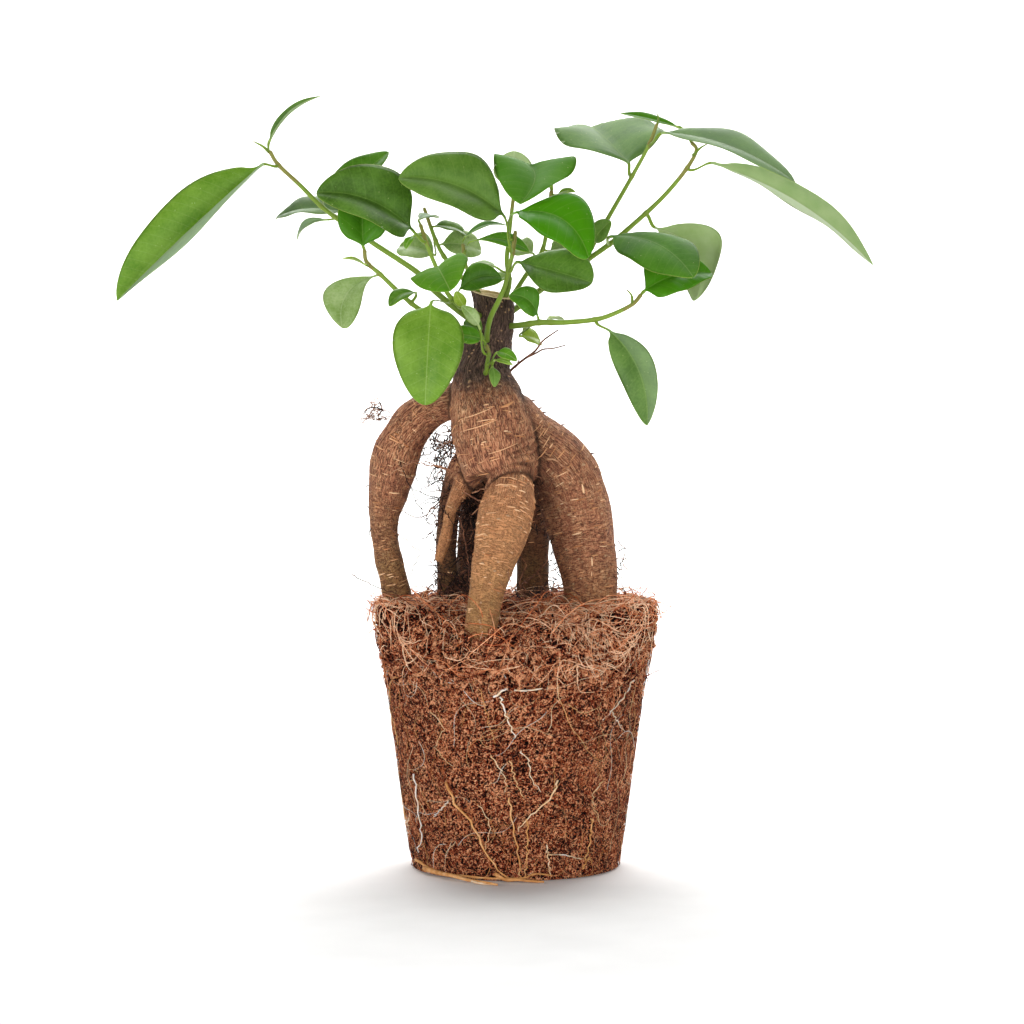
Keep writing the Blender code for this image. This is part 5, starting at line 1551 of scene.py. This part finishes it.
def leaf_top(name, deep, fresh, rib_tone):
    """Waxy upper side from its deep and its fresh green."""
    leaf, feed = new_material(name, Roughness=0.4, IOR=1.46, Specular_IOR_Level=0.16)
    veins, rib = vein_mask(leaf)
    glow = add(leaf, "Attribute", attribute_name="glow")["Fac"]
    bloom_and_sheen = add(leaf, "Attribute", attribute_name="bloom_and_sheen")["Fac"]
    edge = add(leaf, "Attribute", attribute_name="edge")["Fac"]
    place = add(leaf, "TexCoord")["Object"]
    cloud = add(leaf, "TexNoise", {"Vector": place, "Scale": 0.08 / MM, "Detail": 5.0, "Roughness": 0.55})["Fac"]
    cells = add(leaf, "TexNoise", {"Vector": place, "Scale": 1.2 / MM, "Detail": 2.0})["Fac"]
    blend = add(leaf, "Math", {0: cells, 1: 0.35, 2: cloud}, operation="MULTIPLY_ADD")[0]
    tone = add(leaf, "ValToRGB", {"Fac": blend}, stops=[(0.52, deep), (0.84, fresh)])[0]
    # Partly painted light: a deeper, saturated green, partly the blade's own and partly light shining through it.
    tone = add(leaf, "Mix", {"Factor": glow, 6: tone, 7: linear("#3f7d04")}, data_type="RGBA")[2]
    # Wax bloom and painted sheen: a milky grey-green mixed into the colour.
    tone = add(leaf, "Mix", {"Factor": bloom_and_sheen, 6: tone, 7: linear("#9fb19a")}, data_type="RGBA")[2]
    faint = add(leaf, "Math", {0: veins, 1: 0.12}, operation="MULTIPLY")[0]
    tone = add(leaf, "Mix", {"Factor": faint, 6: tone, 7: linear(rib_tone)}, data_type="RGBA")[2]
    rib_share = add(leaf, "Math", {0: rib, 1: 0.3}, operation="MULTIPLY")[0]
    tone = add(leaf, "Mix", {"Factor": rib_share, 6: tone, 7: linear(rib_tone)}, data_type="RGBA")[2]
    speckle = add(leaf, "TexVoronoi", {"Vector": place, "Scale": 0.33 / MM, "Randomness": 1.0})["Distance"]
    speckle = add(leaf, "MapRange", {"Value": speckle, "From Min": 0.09, "From Max": 0.04, "To Max": 0.4})[0]
    tone = add(leaf, "Mix", {"Factor": speckle, 6: tone, 7: linear("#c3cf8a")}, data_type="RGBA")[2]
    rim = add(leaf, "MapRange", {"Value": edge, "From Min": 0.36, "From Max": 0.08, "To Max": 0.6})[0]
    tone = add(leaf, "Mix", {"Factor": rim, 6: tone, 7: linear("#a9be5c")}, data_type="RGBA")[2]
    feed("Base Color", tone)
    gloss = add(leaf, "MapRange", {"Value": cloud, "To Min": 0.33, "To Max": 0.5})[0]
    matt = add(leaf, "Attribute", attribute_name="matt")["Fac"]
    gloss = add(leaf, "Math", {0: matt, 1: 0.4, 2: gloss}, operation="MULTIPLY_ADD")[0]
    feed("Roughness", add(leaf, "Math", {0: bloom_and_sheen, 1: 0.3, 2: gloss}, operation="MULTIPLY_ADD")[0])
    rise = add(leaf, "Math", {0: veins, 1: -0.5, 2: cells}, operation="MULTIPLY_ADD")[0]
    feed("Normal", add(leaf, "Bump", {"Height": rise, "Strength": 0.3, "Distance": 0.12 * MM})[0])
    return leaf


TOPS = {
    "dark": leaf_top("ficus_leaf_top_old", "#375712", "#567c2b", "#86a35a"),
    "mid": leaf_top("ficus_leaf_top_grown", "#42641a", "#5f8233", "#8aa659"),
    "bright": leaf_top("ficus_leaf_top_fresh", "#577b1e", "#7a9b3a", "#a9ba74"),
    "young": leaf_top("ficus_leaf_top_new", "#6d8a22", "#93aa42", "#b4c27a"),
    "pale": leaf_top("ficus_leaf_top_shaded", "#708c46", "#98ac74", "#b2c294"),
}
print("Upper finishes:", len(TOPS))


# %% The matt underside
def leaf_under(name, pale, vein):
    """Matt underside from its ground and its vein colour."""
    leaf, feed = new_material(name, Roughness=0.62, IOR=1.42, Specular_IOR_Level=0.3)
    veins, rib = vein_mask(leaf)
    place = add(leaf, "TexCoord")["Object"]
    cloud = add(leaf, "TexNoise", {"Vector": place, "Scale": 0.12 / MM, "Detail": 5.0})["Fac"]
    tone = add(leaf, "ValToRGB", {"Fac": cloud}, stops=[(0.2, pale), (1.0, vein)])[0]
    lines = add(leaf, "Math", {0: veins, 1: 0.15, 2: rib}, operation="MULTIPLY_ADD", use_clamp=True)[0]
    lines = add(leaf, "Math", {0: lines, 1: 0.6}, operation="MULTIPLY")[0]
    bloom_and_sheen = add(leaf, "Attribute", attribute_name="bloom_and_sheen")["Fac"]
    # Wax bloom and painted sheen: a pale grey-green mixed into the underside's colour.
    tone = add(leaf, "Mix", {"Factor": bloom_and_sheen, 6: tone, 7: linear("#c9d4bd")}, data_type="RGBA")[2]
    tone = add(leaf, "Mix", {"Factor": lines, 6: tone, 7: linear(vein)}, data_type="RGBA")[2]
    feed("Base Color", tone)
    feed("Normal", add(leaf, "Bump", {"Height": lines, "Strength": 0.3, "Distance": 0.15 * MM})[0])
    return leaf


UNDER = {
    "dark": leaf_under("ficus_leaf_underside_old", "#6f8f4c", "#97aa76"),
    "pale": leaf_under("ficus_leaf_underside_new", "#829c5a", "#a6b88a"),
}
print("Lower finishes:", len(UNDER))


# %% Leaves that differ from their age, and five small ones that have no solid
# How deep and saturated a leaf is (partly its own green, partly painted light through the blade), how greyed by
# wax bloom and painted sheen, how much more painted sheen lies on one half, and how matt its wax is
MOOD = {
    "leaf_bright": (1.0, 0), "leaf_right_boat": (0.8, 0), "leaf_left_dark": (0.6, 0),
    "leaf_trunk_left": (0.7, 0), "leaf_trunk_right": (0.6, 0), "leaf_top_narrow": (0.6, 0),
    "leaf_front_low": (0.6, 0, 0, 1), "leaf_far_left": (0.25, 0, 0.6), "leaf_strap_lower": (0.4, 0),
    "leaf_strap_upper": (0.4, 0.1), "leaf_left_bud": (0.4, 0), "leaf_behind_cut": (0.3, 0),
    "leaf_under_cut": (0.5, 0), "leaf_left_upright": (0.3, 0), "leaf_left_small": (0.2, 0),
    "leaf_right_top_left": (0.15, 0.12, 0, 0.45), "leaf_right_top": (0.1, 0.3), "leaf_left_tail": (0, 0.5),
    "leaf_left_edge_on": (0, 0.5), "leaf_curled_tip": (0.1, 0.05), "leaf_left_back": (0, 0.25),
    "leaf_right_hanging": (0, 0.06, 0.18), "leaf_far_right": (0, 0.05, 0.4),
    "leaf_top_folded": (0.6, 0, 0, 0.8), "leaf_right_convex": (0.45, 0, 0, 0.6), "leaf_front_round": (0.15, 0),
}
MORE_LEAVES = {
    "small_trunk_round": ("shoot_trunk_front", (
        0.9, (-13.5, -20.5, 213), (-20, -19, 218), 7.5, 0.5, (0, -8, 5), 14, 1, 0, "dark")),
    "small_trunk_sprout": ("shoot_trunk_front", (
        0.5, (-8, -24, 202.5), (-1, -28, 200.5), 2.6, 0.5, (0, -8, 5), 10, 1, 0, "bright")),
    "small_back_top": ("shoot_back_left", (
        0.85, (-33, 19, 257), (-19, 25, 252.5), 10, 0.5, (0, -5, 8), 12, 2, 0, "mid")),
    "small_behind_neck": ("shoot_centre_back", (
        0.25, (-2.5, 6, 236), (-9.5, 11, 233.5), 7, 0.5, (0, -7, 6), 12, 1, 0, "pale")),
    "small_mid_foot": ("shoot_left_mid", (
        0.2, (-20, -18, 223.5), (-23.5, -21, 229.5), 5, 0.5, (-3, -8, 3), 12, 1, 0, "young")),
}
print("Leaves that differ:", len(MOOD), "and without a solid:", len(MORE_LEAVES))


# %% Build every leaf
def build_leaf(name, shoot, row, seed):
    """One leaf with its top, its underside and its stalk. Returns how many faces it has."""
    places, values, half_count = leaf_points(shoot, row, seed)
    rows, ring = places.shape[:2]
    index = np.arange(rows * ring).reshape(rows, ring)
    column = np.arange(ring)[None].repeat(rows - 1, 0)
    slots = np.where(column < 2 * half_count, 0, 1)
    slots[:STALK_STEPS - 1] = 2
    faces = ring_quads(index).reshape(-1, 4)[:, ::-1].tolist() + [index[0].tolist(), index[-1, ::-1].tolist()]
    slots = slots.ravel().tolist() + [2, 0]
    shade = row[-1]
    under = UNDER["dark" if shade in ("dark", "mid", "bright") else "pale"]
    values["along"] = np.full(rows * ring, 0.5)
    glow, bloom_and_sheen, half_painted_sheen, matt = (*MOOD.get(name, ()), 0, 0, 0, 0)[:4]
    right = values["off_rib"] > 0
    values["glow"] = np.full(rows * ring, glow)
    # Painted sheen on one half of the blade, added to the wax bloom and painted sheen of the whole.
    values["bloom_and_sheen"] = bloom_and_sheen + half_painted_sheen * right
    values["matt"] = np.full(rows * ring, matt)
    leaf = mesh_piece("blade_" + name[name.index("_") + 1:], places.reshape(-1, 3), faces,
                      [TOPS[shade], under, STEM], values, slots)
    if name not in MORE_LEAVES:
        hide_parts(name)
    return len(faces)


count = 0
for shoot_name, rows in LEAVES.items():
    for leaf_name, row in rows.items():
        count += build_leaf(leaf_name, shoot_name, row, len(leaf_name) * 31 + count % 997)
for leaf_name, (shoot_name, row) in MORE_LEAVES.items():
    count += build_leaf(leaf_name, shoot_name, row, 7)
print("Leaf faces:", count)

# %% [markdown]
# ## The studio
#
# A white sweep runs from the floor up behind the plant, so there is no horizon. Three low soft lights, from the
# front left, the front right and the front, light the legs right down to the soil. A wide one hangs above and
# behind. It lays the soft sheen on the leaves and a short pale shadow in front of the ball. The last one keeps
# the backdrop white.


# %% White sweep
def white_sweep():
    """The floor and the backdrop in one curved sheet."""
    paper, feed = new_material("matt_white_studio_paper", Roughness=0.9, IOR=1.45)
    place = add(paper, "TexCoord")["Object"]
    fibre = add(paper, "TexNoise", {"Vector": place, "Scale": 30.0, "Detail": 2.0})["Fac"]
    feed("Base Color", add(paper, "ValToRGB", {"Fac": fibre}, stops=[(0.3, "#f2f2f1"), (0.7, "#f7f7f6")])[0])
    line = spline([(-3000, 0, 0), (-1000, 0, 0), (700, 0, 0), (1250, 160, 0), (1500, 700, 0), (1550, 2600, 0)], 60)
    half_wide = 3200
    points, faces = [], []
    for y, z, _ in line:
        points += [(-half_wide, y, max(z, 0)), (half_wide, y, max(z, 0))]
    for i in range(len(line) - 1):
        faces.append((2 * i, 2 * i + 1, 2 * i + 3, 2 * i + 2))
    mesh = bpy.data.meshes.new("sweep")
    mesh.from_pydata((np.array(points) * MM).tolist(), [], faces)
    mesh.materials.append(paper)
    mesh.shade_smooth()
    sweep = bpy.data.objects.new("sweep", mesh)
    bpy.context.scene.collection.objects.link(sweep)


white_sweep()
print("Sweep ready")


# %% Soft lights and the world
def soft_light(name, place, size, power, aim=(0, 0, 0.17)):
    """A square soft box: place, side and aim in metres, power in watts. It aims at the middle of the plant."""
    light = bpy.data.lights.new(name, "AREA")
    light.shape, light.size, light.energy = "SQUARE", size, power
    lamp = bpy.data.objects.new(name, light)
    bpy.context.scene.collection.objects.link(lamp)
    lamp.location = place
    lamp.rotation_euler = (Vector(aim) - Vector(place)).to_track_quat("-Z", "Y").to_euler()


soft_light("overhead", (0.05, 0.8, 1.2), 1.65, 31)
soft_light("key_left", (-1.6, -1.7, 0.3), 1.2, 38.5)
soft_light("fill_right", (1.7, -1.6, 0.25), 1.2, 26.5)
soft_light("front", (0.1, -2.4, 0.2), 1.2, 24)
soft_light("backdrop", (0.0, 0.75, 1.3), 1.2, 16, (0, 1.55, 0.55))
world = bpy.data.worlds.new("studio")
world.use_nodes = True
world.node_tree.nodes["Background"].inputs[0].default_value = linear("#fbfcff")
world.node_tree.nodes["Background"].inputs[1].default_value = 0.1
bpy.context.scene.world = world
bpy.context.scene.view_settings.view_transform = "Standard"
print("Lights:", len(bpy.data.lights))

# %% Camera
camera = bpy.data.cameras.new("camera")
camera.sensor_width = 36
camera.lens = 105.47     # mm, a portrait lens, so the leaves in front don't look bigger than they are
view = bpy.data.objects.new("camera", camera)
bpy.context.scene.collection.objects.link(view)
view.location = (-1.4 * MM, -1.2, 190 * MM)
view.rotation_euler = (math.radians(90 - 2.29), 0, 0)
bpy.context.scene.camera = view
print("Lens:", round(camera.lens, 1), "mm")

# %% [markdown]
# ## Finish
#
# The view layer is brought up to date, so that every piece stands where it was put. The dressed plant has to
# stay the size of the imported one.

# %% Update the view layer
bpy.context.view_layer.update()
